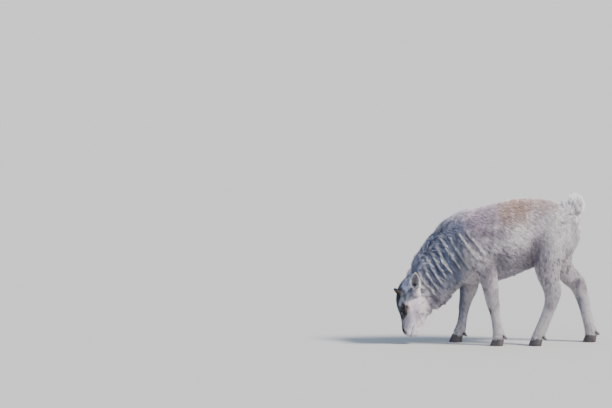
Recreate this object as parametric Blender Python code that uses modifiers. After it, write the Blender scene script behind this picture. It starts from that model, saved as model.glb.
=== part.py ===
"""Life-size model of a grazing reindeer calf that stands on its four hooves.

Metres, +Z up. The calf looks along -X, its left side faces -Y and the floor is z = 0.
The flesh is lofted whole from rings, remeshed into one skin, and parted with thin cuts.
"""

import math
import random

import bmesh
import bpy
import numpy as np
from mathutils import Matrix, Vector
from mathutils.bvhtree import BVHTree

# Gap that neighbouring pieces keep
GAP = 0.0003

# Where the middle of the calf's length lies on the drawing that the rings are measured on
DRAWING_MIDDLE_X = 0.0313

# Fineness of the body and of the head before they are thinned out
BODY_VOXEL = 0.0050
HEAD_VOXEL = 0.0026
BODY_TRIANGLES = 3200
HEAD_TRIANGLES = 1500

# Head
HEAD_TURN = math.radians(4.0)
HEAD_PIVOT = (-0.300, 0.0)
EYE_RADIUS = 0.0135
EYE_CENTRE = (-0.3625, 0.0365, 0.1490)
EYE_FACING = (-0.34, 0.93, 0.06)
ORBIT_RADIUS = 0.0178
LID_RADIUS = 0.0022
LID_HALF_LENGTH = math.radians(52)
UPPER_LID_RISE = math.radians(36)
LOWER_LID_DROP = math.radians(28)
LID_POINTS = 16
LID_SIDES = 5
LID_OPENING = 0.84
EAR_ROOT = (-0.3165, 0.0580, 0.2430)
EAR_TIP = (-0.3225, 0.1050, 0.3110)
EAR_FACING = (-0.25, 0.86, -0.45)
EAR_WIDTH = 0.044
EAR_SKIN = 0.0034
EAR_STEM = 0.0145
BUD_ROOT = (-0.3700, 0.0240, 0.2060)
BUD_WAY = (-0.76, 0.26, 0.60)
BUD_LENGTH = 0.020
BUD_BOSS = 0.0065
BUD_RADIUS = 0.0085
NOSTRIL_CENTRE = (-0.3640, 0.0185, 0.0600)
NOSTRIL_SIZE = (0.0040, 0.0055, 0.0085)
NOSTRIL_TILT = math.radians(28)
NOSTRIL_SLANT = math.radians(-20)
MOUTH_GAP = 0.0012
MOUTH_REACH = 0.06
MOUTH_LINE = [(-0.3360, 0.020), (-0.3345, 0.040), (-0.3310, 0.058), (-0.3250, 0.076), (-0.3190, 0.087)]

# Feet: one hoof has two claws and two dewclaws
CLAW_LENGTH = 0.054
CLAW_WIDTH = 0.0235
CLAW_SPLIT = 0.0016
CLAW_AHEAD = 0.0100
CORONET_HEIGHT = 0.0270
CORONET_SLOPE = 0.22
DEWCLAW_LENGTH = 0.014
DEWCLAW_RADIUS = 0.0055
DEWCLAW_BOSS = 0.0035
DEWCLAW_BACK = 0.0060
DEWCLAW_SPREAD = 0.0095
DEWCLAW_HEIGHT = 0.0520

# Dock: how far the root of the tail reaches into the rump
DOCK_DEPTH = 0.045

# Longer coat: how far the core lies inside it, and how many locks there are
NECK_DEPTH = 0.007
THROAT_DEPTH = 0.010
BELLY_DEPTH = 0.006
TAIL_CORE = [1.0, 0.88, 0.76, 0.72, 0.68, 0.66]
NECK_ROWS = 8
NECK_LOCK_WIDTH = 0.022
LOCK_LIFT = 0.0042
LOCK_DROOP = 0.40
SIDE_LIE = (0.57, 0.0, -0.82)
THROAT_LIE = (0.75, 0.0, -0.66)
TAIL_WAY = (0.05, 0.0, 1.0)
TAIL_LOCK_WIDTH = 0.018
TAIL_LOCK_LIFT = 0.004
TAIL_LOCK_HANG = 0.65
TAIL_LOCK_DROOP = 0.08
# share of the tail's length, number of locks, their length and how far they spread
TAIL_ROWS = [(0.16, 8, 0.046, 0.40), (0.38, 7, 0.042, 0.42), (0.62, 4, 0.026, 0.45)]
LOCK_SEED = 7


class Ring:
    """One cross-section of a loft: its two edges in the side view, as (x, z), and its half width."""

    def __init__(self, front, rear, half_width, y=0.0, egg=0.0, square=2.0):
        self.values = np.array([*front, *rear, half_width, y, egg, square], float)


def drawn_in(rings, below, sides):
    """The same rings with their rear or lower edge and their sides drawn in under longer coat."""
    made = []
    for ring in rings:
        values = ring.values.copy()
        inward = values[0:2] - values[2:4]
        values[2:4] += inward / np.linalg.norm(inward) * below
        values[4] -= sides
        made.append(values)
    return np.array(made)


TORSO = [
    Ring((-0.205, 0.495), (-0.185, 0.330), 0.040),
    Ring((-0.160, 0.543), (-0.150, 0.272), 0.064),
    Ring((-0.113, 0.566), (-0.110, 0.256), 0.079, egg=-0.05),
    Ring((-0.059, 0.574), (-0.055, 0.256), 0.090, egg=-0.06),
    Ring((0.000, 0.589), (0.005, 0.264), 0.099, egg=-0.06),
    Ring((0.066, 0.607), (0.065, 0.280), 0.106, egg=-0.04),
    Ring((0.120, 0.614), (0.122, 0.305), 0.106),
    Ring((0.180, 0.616), (0.180, 0.328), 0.100, egg=0.05),
    Ring((0.240, 0.611), (0.238, 0.338), 0.096, egg=0.08),
    Ring((0.290, 0.597), (0.285, 0.348), 0.088, egg=0.08),
    Ring((0.330, 0.578), (0.325, 0.362), 0.074),
    Ring((0.358, 0.548), (0.352, 0.395), 0.054),
    Ring((0.374, 0.505), (0.370, 0.430), 0.026),
]
NECK = [
    Ring((-0.105, 0.555), (-0.085, 0.290), 0.070),
    Ring((-0.160, 0.540), (-0.122, 0.256), 0.071, egg=-0.05),
    Ring((-0.203, 0.503), (-0.146, 0.230), 0.069, egg=-0.05),
    Ring((-0.245, 0.452), (-0.166, 0.207), 0.064),
    Ring((-0.282, 0.402), (-0.190, 0.182), 0.060),
    Ring((-0.312, 0.358), (-0.216, 0.158), 0.057),
    Ring((-0.329, 0.312), (-0.242, 0.146), 0.053),
    Ring((-0.340, 0.275), (-0.262, 0.145), 0.047),
]
HEAD = [
    Ring((-0.318, 0.318), (-0.262, 0.262), 0.030),
    Ring((-0.345, 0.288), (-0.245, 0.205), 0.043, egg=-0.04),
    Ring((-0.372, 0.262), (-0.242, 0.172), 0.049, egg=-0.08),
    Ring((-0.387, 0.236), (-0.246, 0.150), 0.0525, egg=-0.05),
    Ring((-0.3945, 0.207), (-0.252, 0.138), 0.0535, egg=0.02),
    Ring((-0.3950, 0.178), (-0.258, 0.126), 0.0530, egg=0.10),
    Ring((-0.3900, 0.152), (-0.264, 0.113), 0.0500, egg=0.14),
    Ring((-0.3800, 0.126), (-0.271, 0.095), 0.0440, egg=0.10),
    Ring((-0.3740, 0.103), (-0.280, 0.078), 0.0385, egg=0.02, square=2.2),
    Ring((-0.3715, 0.082), (-0.289, 0.062), 0.0345, egg=-0.02, square=2.3),
    Ring((-0.3700, 0.063), (-0.294, 0.049), 0.0335, egg=0.02, square=2.4),
    Ring((-0.3650, 0.047), (-0.301, 0.038), 0.0320, egg=0.06, square=2.4),
    Ring((-0.3530, 0.036), (-0.314, 0.032), 0.0260, square=2.3),
    Ring((-0.3420, 0.0325), (-0.325, 0.0320), 0.0140),
]
TAIL = [
    Ring((0.3335, 0.5800), (0.3765, 0.5570), 0.0170),
    Ring((0.3275, 0.5900), (0.3870, 0.5690), 0.0225),
    Ring((0.3270, 0.6050), (0.3925, 0.5890), 0.0270),
    Ring((0.3310, 0.6180), (0.3890, 0.6080), 0.0260),
    Ring((0.3400, 0.6290), (0.3790, 0.6240), 0.0180),
    Ring((0.3510, 0.6350), (0.3670, 0.6345), 0.0080),
]
FORELEG_LEFT = [
    Ring((-0.118, 0.478), (-0.005, 0.515), 0.028, -0.054),
    Ring((-0.113, 0.368), (0.015, 0.415), 0.036, -0.062),
    Ring((-0.067, 0.310), (0.025, 0.343), 0.037, -0.067),
    Ring((-0.038, 0.251), (0.032, 0.268), 0.0320, -0.070),
    Ring((-0.026, 0.200), (0.038, 0.209), 0.0285, -0.071),
    Ring((-0.018, 0.171), (0.041, 0.179), 0.0265, -0.071),
    Ring((-0.006, 0.137), (0.041, 0.146), 0.0215, -0.071),
    Ring((0.002, 0.104), (0.0445, 0.110), 0.0190, -0.071),
    Ring((0.0065, 0.072), (0.053, 0.078), 0.0205, -0.071),
    Ring((0.0090, 0.048), (0.061, 0.052), 0.0230, -0.071),
    Ring((0.0085, 0.026), (0.059, 0.024), 0.0230, -0.071),
    Ring((0.0080, 0.012), (0.052, 0.012), 0.0200, -0.071),
]
FORELEG_RIGHT = [
    Ring((-0.147, 0.451), (-0.034, 0.493), 0.028, 0.054),
    Ring((-0.146, 0.340), (-0.018, 0.380), 0.035, 0.062),
    Ring((-0.130, 0.272), (-0.034, 0.296), 0.035, 0.067),
    Ring((-0.126, 0.220), (-0.048, 0.224), 0.0310, 0.069),
    Ring((-0.1285, 0.180), (-0.068, 0.178), 0.0275, 0.070),
    Ring((-0.1305, 0.150), (-0.0785, 0.150), 0.0255, 0.070),
    Ring((-0.1325, 0.118), (-0.0870, 0.114), 0.0205, 0.070),
    Ring((-0.1370, 0.088), (-0.0920, 0.083), 0.0185, 0.070),
    Ring((-0.1450, 0.063), (-0.0960, 0.056), 0.0205, 0.070),
    Ring((-0.1530, 0.044), (-0.0990, 0.036), 0.0225, 0.070),
    Ring((-0.1590, 0.024), (-0.1060, 0.020), 0.0230, 0.070),
    Ring((-0.1600, 0.012), (-0.1140, 0.011), 0.0200, 0.070),
]
HINDLEG_LEFT = [
    Ring((0.240, 0.530), (0.345, 0.535), 0.030, -0.046),
    Ring((0.190, 0.425), (0.346, 0.440), 0.041, -0.056),
    Ring((0.182, 0.352), (0.315, 0.380), 0.041, -0.063),
    Ring((0.192, 0.298), (0.293, 0.322), 0.0360, -0.068),
    Ring((0.207, 0.260), (0.291, 0.282), 0.0305, -0.070),
    Ring((0.2200, 0.227), (0.2990, 0.246), 0.0275, -0.071),
    Ring((0.2245, 0.197), (0.2965, 0.213), 0.0270, -0.071),
    Ring((0.2210, 0.167), (0.2850, 0.177), 0.0245, -0.071),
    Ring((0.2085, 0.129), (0.2680, 0.135), 0.0210, -0.071),
    Ring((0.1935, 0.091), (0.2500, 0.093), 0.0205, -0.071),
    Ring((0.1800, 0.058), (0.2360, 0.058), 0.0230, -0.071),
    Ring((0.1710, 0.032), (0.2250, 0.028), 0.0235, -0.071),
    Ring((0.1710, 0.013), (0.2160, 0.012), 0.0200, -0.071),
]
HINDLEG_RIGHT = [
    Ring((0.250, 0.530), (0.352, 0.535), 0.030, 0.046),
    Ring((0.232, 0.410), (0.366, 0.432), 0.041, 0.056),
    Ring((0.245, 0.338), (0.351, 0.370), 0.040, 0.063),
    Ring((0.273, 0.292), (0.350, 0.336), 0.0350, 0.067),
    Ring((0.307, 0.250), (0.374, 0.308), 0.0300, 0.070),
    Ring((0.3405, 0.222), (0.4035, 0.272), 0.0275, 0.072),
    Ring((0.3585, 0.190), (0.4165, 0.215), 0.0265, 0.073),
    Ring((0.3740, 0.152), (0.4275, 0.165), 0.0240, 0.073),
    Ring((0.3860, 0.110), (0.4365, 0.118), 0.0210, 0.073),
    Ring((0.3960, 0.073), (0.4460, 0.078), 0.0205, 0.073),
    Ring((0.4020, 0.046), (0.4570, 0.049), 0.0230, 0.073),
    Ring((0.4050, 0.026), (0.4600, 0.024), 0.0235, 0.073),
    Ring((0.4050, 0.013), (0.4520, 0.012), 0.0200, 0.073),
]


# Materials

def material(name, colour, roughness, metallic=0.0):
    made = bpy.data.materials.new(name)
    made.use_nodes = True
    shader = made.node_tree.nodes["Principled BSDF"]
    shader.inputs["Base Color"].default_value = (*colour, 1.0)
    shader.inputs["Roughness"].default_value = roughness
    shader.inputs["Metallic"].default_value = metallic
    return made


# Loft and mesh helpers

def between(stations, steps):
    """The rings with steps - 1 more between each two, on a Catmull-Rom curve through them."""
    padded = np.vstack([2 * stations[0] - stations[1], stations, 2 * stations[-1] - stations[-2]])
    made = []
    for i in range(len(stations) - 1):
        before, start, end, after = padded[i : i + 4]
        for t in np.arange(steps) / steps:
            made.append(
                start
                + 0.5 * t * (end - before)
                + t * t * (before - 2.5 * start + 2 * end - 0.5 * after)
                + t**3 * 0.5 * (3 * start - before - 3 * end + after)
            )
    return np.array([*made, stations[-1]])


def ring_points(values, sides):
    """The points of one superellipse ring, the first at its front edge, going round by +Y."""
    front_x, front_z, rear_x, rear_z, half_width, y, egg, square = values
    angles = np.arange(sides) * 2 * math.pi / sides
    along = np.sign(np.cos(angles)) * np.abs(np.cos(angles)) ** (2 / square)
    across = np.sign(np.sin(angles)) * np.abs(np.sin(angles)) ** (2 / square)
    x = (front_x + rear_x) / 2 + (front_x - rear_x) / 2 * along
    z = (front_z + rear_z) / 2 + (front_z - rear_z) / 2 * along
    return np.column_stack([x, y + half_width * across * (1 + egg * along), z])


def skin_rings(mesh, rings_of_points):
    """Adds to a bmesh the closed tube through rings that have equally many points."""
    grid = [[mesh.verts.new(point) for point in ring] for ring in rings_of_points]
    for lower, upper in zip(grid, grid[1:]):
        for k in range(len(lower)):
            after = (k + 1) % len(lower)
            mesh.faces.new([lower[k], lower[after], upper[after], upper[k]])
    mesh.faces.new(grid[0])
    mesh.faces.new(grid[-1])
    bmesh.ops.recalc_face_normals(mesh, faces=mesh.faces)


def new_collection(name):
    made = bpy.data.collections.new(name)
    bpy.context.scene.collection.children.link(made)
    return made


def clear(collection):
    for obj in list(collection.objects):
        bpy.data.objects.remove(obj)


def add_object(name, mesh, collection):
    made = bpy.data.objects.new(name, mesh)
    collection.objects.link(made)
    return made


def from_bmesh(name, mesh, collection):
    data = bpy.data.meshes.new(name)
    mesh.to_mesh(data)
    mesh.free()
    return add_object(name, data, collection)


def loft(name, stations, collection, sides=28, steps=4):
    mesh = bmesh.new()
    skin_rings(mesh, [ring_points(values, sides) for values in between(stations, steps)])
    return from_bmesh(name, mesh, collection)


def tube(name, centres, radii, collection, sides=10, flat_way=(0, 1, 0)):
    """A closed tube of round rings along a path."""
    centres = [Vector(centre) for centre in centres]
    rings = []
    for i, centre in enumerate(centres):
        ahead = (centres[min(i + 1, len(centres) - 1)] - centres[max(i - 1, 0)]).normalized()
        side = (Vector(flat_way) - ahead * ahead.dot(Vector(flat_way))).normalized()
        other = ahead.cross(side)
        rings.append([
            centre
            + side * radii[i] * math.cos(angle)
            + other * radii[i] * math.sin(angle)
            for angle in np.arange(sides) * 2 * math.pi / sides
        ])
    mesh = bmesh.new()
    skin_rings(mesh, rings)
    return from_bmesh(name, mesh, collection)


def evaluated(obj):
    """Replaces an object's mesh by what its modifiers make of it, with its place applied."""
    bpy.context.view_layer.update()
    graph = bpy.context.evaluated_depsgraph_get()
    data = bpy.data.meshes.new_from_object(obj.evaluated_get(graph))
    data.transform(obj.matrix_world)
    obj.modifiers.clear()
    obj.matrix_world = Matrix.Identity(4)
    obj.data = data
    return obj


def joined(name, objects, collection):
    """One object of several closed meshes, which may still cross."""
    mesh = bmesh.new()
    for obj in objects:
        mesh.from_mesh(obj.data)
    return from_bmesh(name, mesh, collection)


def remeshed(obj, voxel, smoothing):
    """One even skin round everything in obj, with its creases smoothed."""
    remesh = obj.modifiers.new("Skin", "REMESH")
    remesh.mode = "VOXEL"
    remesh.voxel_size = voxel
    smooth = obj.modifiers.new("Smooth", "SMOOTH")
    smooth.factor = 0.5
    smooth.iterations = smoothing
    return evaluated(obj)


def thinned(obj, triangles):
    count = sum(len(face.vertices) - 2 for face in obj.data.polygons)
    decimate = obj.modifiers.new("Thin", "DECIMATE")
    decimate.ratio = min(1.0, triangles / count)
    return evaluated(obj)


def boolean(obj, operation, other, solver="EXACT"):
    """Joins or cuts obj with an object, or with everything in a collection."""
    modifier = obj.modifiers.new("Cut", "BOOLEAN")
    modifier.operation = operation
    modifier.solver = solver
    if isinstance(other, bpy.types.Collection):
        modifier.operand_type = "COLLECTION"
        modifier.collection = other
    else:
        modifier.object = other
    return evaluated(obj)


def copy_of(obj, name, collection):
    return add_object(name, obj.data.copy(), collection)


def keep_below(obj, point, normal):
    """Cuts obj by a plane, keeps the side away from the normal and closes the cut."""
    mesh = bmesh.new()
    mesh.from_mesh(obj.data)
    bmesh.ops.bisect_plane(
        mesh,
        geom=[*mesh.verts, *mesh.edges, *mesh.faces],
        dist=1e-6,
        plane_co=point,
        plane_no=normal,
        clear_outer=True,
    )
    rim = [edge for edge in mesh.edges if edge.is_boundary]
    bmesh.ops.holes_fill(mesh, edges=rim, sides=0)
    bmesh.ops.recalc_face_normals(mesh, faces=mesh.faces)
    mesh.to_mesh(obj.data)
    mesh.free()
    return obj


def largest_only(obj):
    """Drops every closed surface but the largest."""
    mesh = bmesh.new()
    mesh.from_mesh(obj.data)
    left = set(mesh.verts)
    islands = []
    while left:
        island = {left.pop()}
        front = list(island)
        while front:
            for edge in front.pop().link_edges:
                for vert in edge.verts:
                    if vert in left:
                        left.discard(vert)
                        island.add(vert)
                        front.append(vert)
        islands.append(island)
    islands.sort(key=len)
    loose = [vert for island in islands[:-1] for vert in island]
    bmesh.ops.delete(mesh, geom=loose, context="VERTS")
    mesh.to_mesh(obj.data)
    mesh.free()
    return obj


def block(name, corners, collection):
    """A box with eight free corners, four below and four above, each set going round."""
    mesh = bmesh.new()
    bmesh.ops.create_cube(mesh, size=1.0)
    order = sorted(mesh.verts, key=lambda v: (v.co.z, math.atan2(v.co.y, v.co.x)))
    for vert, corner in zip(order, corners):
        vert.co = corner
    bmesh.ops.recalc_face_normals(mesh, faces=mesh.faces)
    return from_bmesh(name, mesh, collection)


def sculpted(obj, strokes):
    """Moves the skin out or in round short paths: each stroke is (points, reach, height)."""
    data = obj.data
    count = len(data.vertices)
    co = np.empty(count * 3)
    data.vertices.foreach_get("co", co)
    co = co.reshape(-1, 3)
    normals = np.array([vert.normal for vert in data.vertices])
    moved = np.zeros(count)
    for points, reach, height in strokes:
        for side in (-1, 1):
            path = np.array(points, float) * (1, side, 1)
            nearest = np.full(count, 1e9)
            for start, end in zip(path, path[1:]):
                run = end - start
                share = np.clip(((co - start) @ run) / (run @ run), 0, 1)
                nearest = np.minimum(nearest, np.linalg.norm(co - start - share[:, None] * run, axis=1))
            moved += height * np.exp(-((nearest / reach) ** 2))
    data.vertices.foreach_set("co", (co + normals * moved[:, None]).ravel())
    data.update()
    return obj


def ball(name, centre, radius, collection, segments=12, rings=8):
    mesh = bmesh.new()
    bmesh.ops.create_uvsphere(mesh, u_segments=segments, v_segments=rings, radius=radius)
    bmesh.ops.translate(mesh, verts=mesh.verts, vec=centre)
    return from_bmesh(name, mesh, collection)


def tree_of(obj):
    """A tree for finding the nearest place on obj's surface."""
    return BVHTree.FromPolygons(
        [vert.co for vert in obj.data.vertices], [face.vertices for face in obj.data.polygons]
    )


def way_out(obj, inside, way):
    """Where a line from inside obj leaves its surface."""
    return tree_of(obj).ray_cast(inside, way)[0]


# The head turns a little to its left, and the neck follows it

def turned(points):
    """Points of the head and neck after the turn, which fades out along the neck."""
    points = np.array(points, float).reshape(-1, 3)
    along = (-0.175 - points[:, 0]) / 0.115
    share = np.clip(along, 0, 1)
    angle = HEAD_TURN * share * share * (3 - 2 * share)
    dx = points[:, 0] - HEAD_PIVOT[0]
    dy = points[:, 1] - HEAD_PIVOT[1]
    points[:, 0] = HEAD_PIVOT[0] + dx * np.cos(angle) - dy * np.sin(angle)
    points[:, 1] = HEAD_PIVOT[1] + dx * np.sin(angle) + dy * np.cos(angle)
    return points


def turn_object(obj):
    co = np.empty(len(obj.data.vertices) * 3)
    obj.data.vertices.foreach_get("co", co)
    obj.data.vertices.foreach_set("co", turned(co).ravel())
    obj.data.update()
    return obj


def side_point(point, side):
    """A place on the head's left (-1) or right (1) half."""
    return Vector((point[0], point[1] * side, point[2]))


# Sculpting of the skin

HEAD_STROKES = [
    # brow ridge over the eye
    (((-0.382, 0.030, 0.166), (-0.366, 0.044, 0.176), (-0.345, 0.047, 0.166)), 0.010, 0.0040),
    # ring of the orbit under the eye
    (((-0.372, 0.041, 0.126), (-0.352, 0.046, 0.126), (-0.340, 0.048, 0.142)), 0.009, 0.0028),
    # hollow before the eye
    (((-0.366, 0.038, 0.118), (-0.357, 0.036, 0.098)), 0.008, -0.0026),
    # jaw muscle
    (((-0.300, 0.048, 0.170), (-0.285, 0.042, 0.145)), 0.022, 0.0040),
    # hollow of the cheek before the jaw muscle
    (((-0.318, 0.040, 0.128), (-0.312, 0.036, 0.100)), 0.014, -0.0035),
    # hollow of the temple
    (((-0.352, 0.047, 0.196), (-0.338, 0.049, 0.212)), 0.012, -0.0035),
    # upper lip and lower lip on each side of the mouth
    (((-0.345, 0.028, 0.040), (-0.341, 0.033, 0.058), (-0.333, 0.034, 0.078)), 0.0075, 0.0026),
    (((-0.324, 0.024, 0.040), (-0.321, 0.031, 0.056), (-0.317, 0.032, 0.074)), 0.0065, 0.0022),
    # wing of the nostril
    (((-0.371, 0.016, 0.070), (-0.364, 0.026, 0.066), (-0.358, 0.028, 0.056)), 0.0055, 0.0022),
    # chin
    (((-0.312, 0.0, 0.042), (-0.306, 0.0, 0.052)), 0.012, 0.0015),
]
BODY_STROKES = [
    # front edge of the shoulder blade and upper arm
    (((-0.150, 0.075, 0.430), (-0.112, 0.085, 0.352), (-0.085, 0.088, 0.325)), 0.013, -0.0050),
    (((-0.128, 0.080, 0.440), (-0.092, 0.092, 0.360)), 0.022, 0.0060),
    # fold behind the elbow
    (((0.030, 0.095, 0.365), (0.045, 0.090, 0.320)), 0.016, -0.0060),
    # fold of the flank before the thigh
    (((0.175, 0.100, 0.430), (0.170, 0.096, 0.375), (0.163, 0.090, 0.345)), 0.017, -0.0070),
    # hollow between hip and ribs
    (((0.190, 0.095, 0.520), (0.215, 0.092, 0.535)), 0.030, -0.0050),
    # thigh muscle
    (((0.245, 0.100, 0.455), (0.235, 0.104, 0.400)), 0.035, 0.0060),
]


def flesh(collection):
    """The whole body as crossing lofts."""
    made = {}
    for name, rings, below, sides, count, steps in (
        ("torso", TORSO, BELLY_DEPTH, 0.0, 36, 4),
        ("neck", NECK, THROAT_DEPTH, NECK_DEPTH, 32, 4),
        ("head", HEAD, 0.0, 0.0, 40, 5),
        ("foreleg_left", FORELEG_LEFT, 0.0, 0.0, 28, 4),
        ("foreleg_right", FORELEG_RIGHT, 0.0, 0.0, 28, 4),
        ("hindleg_left", HINDLEG_LEFT, 0.0, 0.0, 28, 4),
        ("hindleg_right", HINDLEG_RIGHT, 0.0, 0.0, 28, 4),
    ):
        made[name] = loft(name + "_loft", drawn_in(rings, below, sides), collection, count, steps)
    return made


# Longer coat

# Share of the length, height as a share of the lift, and shares of the width and thickness
LOCK_STATIONS = [
    (-0.10, -3.0, 0.45, 0.60),
    (0.16, -0.65, 0.70, 0.60),
    (0.46, -0.10, 1.00, 1.00),
    (0.78, 0.55, 0.62, 0.70),
    (1.00, 0.80, 0.00, 0.00),
]
LOCK_THICKNESS = 0.30
DOWN = Vector((0.0, 0.0, -1.0))


def lock(name, tree, place, lie, size, lift, hang, droop, sway, collection):
    """A flat tapered lock: its root is sunk in the skin, and it follows the skin or hangs free."""
    length, width = size
    point, normal = tree.find_nearest(place)[:2]
    heading = (lie - normal * lie.dot(normal) * (1 - hang)).normalized()
    mesh = bmesh.new()
    rings = []
    last = 0.0
    for share, height, breadth, thickness in LOCK_STATIONS:
        ahead = point + heading * length * (share - last)
        near, way = tree.find_nearest(ahead)[:2]
        free = hang * max(share, 0.0) ** 0.5
        point = near.lerp(ahead, free)
        normal = way.lerp(normal, free).normalized()
        across = normal.cross(heading).normalized()
        heading = heading - normal * heading.dot(normal) * (1 - free) + across * sway
        heading = heading.normalized().lerp(DOWN, free * droop).normalized()
        last = share
        middle = point + normal * lift * height
        if breadth == 0:
            tip = mesh.verts.new(middle)
            continue
        side = across * width / 2 * breadth
        thick = normal * width * LOCK_THICKNESS * thickness
        rings.append([mesh.verts.new(corner) for corner in (middle + side, middle + thick, middle - side)])
    mesh.faces.new(rings[0])
    for start, end in zip(rings, rings[1:]):
        for k in range(3):
            mesh.faces.new([start[k], start[k - 2], end[k - 2], end[k]])
    for k in range(3):
        mesh.faces.new([rings[-1][k], rings[-1][k - 2], tip])
    bmesh.ops.recalc_face_normals(mesh, faces=mesh.faces)
    return from_bmesh(name, mesh, collection)


# Where the locks of the neck start, round it from the nape, with their length and how free they hang
NECK_TURNS = [(44, 0.082, 0.0), (80, 0.084, 0.03), (118, 0.072, 0.15), (156, 0.048, 0.40)]
NECK_STAGGER = 9
NECK_START, NECK_END = 0.10, 0.84


def neck_locks():
    """Place, lie, size and hang of each lock on the sides of the neck and throat."""
    stations = between(drawn_in(NECK, THROAT_DEPTH, NECK_DEPTH), 4)
    found = []
    for row, share in enumerate(np.linspace(NECK_START, NECK_END, NECK_ROWS)):
        points = ring_points(stations[round(share * (len(stations) - 1))], 360)
        for i, (degrees, length, hang) in enumerate(NECK_TURNS):
            turn = degrees + NECK_STAGGER * (row % 2)
            lie = Vector(SIDE_LIE).lerp(Vector(THROAT_LIE), i / (len(NECK_TURNS) - 1))
            for point in (points[turn], points[-turn]):
                found.append((Vector(point), lie, (length, NECK_LOCK_WIDTH), hang))
    return found


def other_locks():
    """The same for the brisket, the belly and the angle of the jaw."""
    found = []
    for i, x in enumerate((-0.148, -0.120, -0.092)):
        for y in (-0.032, 0.0, 0.032) if i % 2 else (-0.016, 0.016):
            found.append((Vector((x, y, 0.235)), Vector((0.75, y, -0.60)), (0.046, 0.022), 0.30))
    for i, x in enumerate((0.060, 0.086, 0.112, 0.138)):
        for y in (-0.056, 0.0, 0.056) if i % 2 else (-0.028, 0.028):
            found.append((Vector((x, y, 0.25 + x / 3)), Vector((0.90, y, -0.35)), (0.048, 0.022), 0.15))
    for side in (-1, 1):
        for x, y, z in ((-0.268, 0.036, 0.160), (-0.252, 0.020, 0.150)):
            found.append((Vector((x, side * y, z)), Vector((0.45, 0, -0.70)), (0.036, 0.018), 0.3))
    return found


def lock_objects(tree, collection):
    """Every lock of the body, each a little different, the same in every run."""
    luck = random.Random(LOCK_SEED)
    for i, (place, lie, (length, width), hang) in enumerate([*neck_locks(), *other_locks()]):
        lie = lie + Vector([luck.uniform(-0.08, 0.08) for _ in range(3)])
        size = (length * luck.uniform(0.85, 1.15), width * luck.uniform(0.85, 1.15))
        lift = LOCK_LIFT * luck.uniform(0.8, 1.3)
        sway = luck.uniform(-0.12, 0.12)
        lock(f"lock_{i}", tree, place, lie, size, lift, hang, LOCK_DROOP, sway, collection)


def tail_locks(core, collection):
    """Locks that stand out from the core of the tail in rings, up to its outline."""
    luck = random.Random(LOCK_SEED)
    tree = tree_of(core)
    stations = between(drawn_in(TAIL, 0.0, 0.0), 4)
    for row, (share, count, length, spread) in enumerate(TAIL_ROWS):
        points = ring_points(stations[round(share * (len(stations) - 1))], 360)
        middle = Vector(points.mean(axis=0))
        for k in range(count):
            point = Vector(points[round(360 * (k + 0.5 * (row % 2)) / count)])
            lie = Vector(TAIL_WAY) + (point - middle).normalized() * spread * luck.uniform(0.8, 1.2)
            size = (length * luck.uniform(0.9, 1.1), TAIL_LOCK_WIDTH)
            sway = luck.uniform(-0.15, 0.15)
            lock(
                f"tail_lock_{row}_{k}",
                tree,
                point,
                lie,
                size,
                TAIL_LOCK_LIFT,
                TAIL_LOCK_HANG,
                TAIL_LOCK_DROOP,
                sway,
                collection,
            )


# Planes and blocks that part the body

HEAD_PLANE = (Vector((-0.2800, 0.0, 0.228)), Vector((-0.800, 0.0, -0.600)).normalized())
NECK_PLANE = (Vector((-0.1520, 0.0, 0.390)), Vector((-0.985, 0.0, -0.170)).normalized())
FOOT_Y = 0.071
BLOCK_INNER_Y = 0.010
BLOCK_OUTER_Y = 0.150
BLOCK_BOTTOM = -0.05
CORONET_NORMAL = Vector((CORONET_SLOPE, 0.0, -1.0)).normalized()


class Leg:
    """Where one leg is cut from the body and at its knee or hock, and where its foot stands."""

    def __init__(self, side, top_x, bottom_x, inner_z, outer_z, joint, joint_slope, foot_x):
        self.side = side
        self.top_x = top_x
        self.bottom_x = bottom_x
        self.inner_z = inner_z
        self.outer_z = outer_z
        self.joint = Vector((joint[0], 0.0, joint[1]))
        self.down = Vector((joint_slope, 0.0, -1.0)).normalized()
        self.foot_x = foot_x

    def block(self, name, grow, collection):
        """A block round the leg. Its top slopes up from the middle of the body to the outside."""
        sides = [(BLOCK_INNER_Y - grow, self.inner_z + grow), (BLOCK_OUTER_Y, self.outer_z + grow)]
        if self.side < 0:
            sides = [(-y, z) for y, z in reversed(sides)]
        (low_y, low_side_z), (high_y, high_side_z) = sides
        return block(
            name,
            [
                (self.bottom_x[0], low_y, BLOCK_BOTTOM),
                (self.bottom_x[1], low_y, BLOCK_BOTTOM),
                (self.bottom_x[1], high_y, BLOCK_BOTTOM),
                (self.bottom_x[0], high_y, BLOCK_BOTTOM),
                (self.top_x[0], low_y, low_side_z),
                (self.top_x[1], low_y, low_side_z),
                (self.top_x[1], high_y, high_side_z),
                (self.top_x[0], high_y, high_side_z),
            ],
            collection,
        )


LEGS = {
    "foreleg_left": Leg(-1, (-0.105, 0.060), (-0.030, 0.100), 0.240, 0.345, (0.010, 0.190), 0.10, 0.0345),
    "foreleg_right": Leg(1, (-0.150, 0.010), (-0.200, -0.060), 0.240, 0.330, (-0.100, 0.164), -0.10, -0.1335),
    "hindleg_left": Leg(-1, (0.160, 0.345), (0.130, 0.300), 0.318, 0.405, (0.260, 0.215), -0.10, 0.1955),
    "hindleg_right": Leg(1, (0.195, 0.420), (0.330, 0.520), 0.318, 0.405, (0.378, 0.228), 0.45, 0.4310),
}


# Hooves

# Height, share of the full size, and how far back each level of a claw lies
CLAW_LEVELS = [(0.0, 0.94, 0.0), (0.0025, 1.0, 0.0), (0.013, 0.95, 0.0030), (0.038, 0.80, 0.0100)]
CLAW_INNER_WIDTH = 0.55
CLAW_TOE_TAPER = 0.42
CLAW_SIDES = 10


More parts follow.
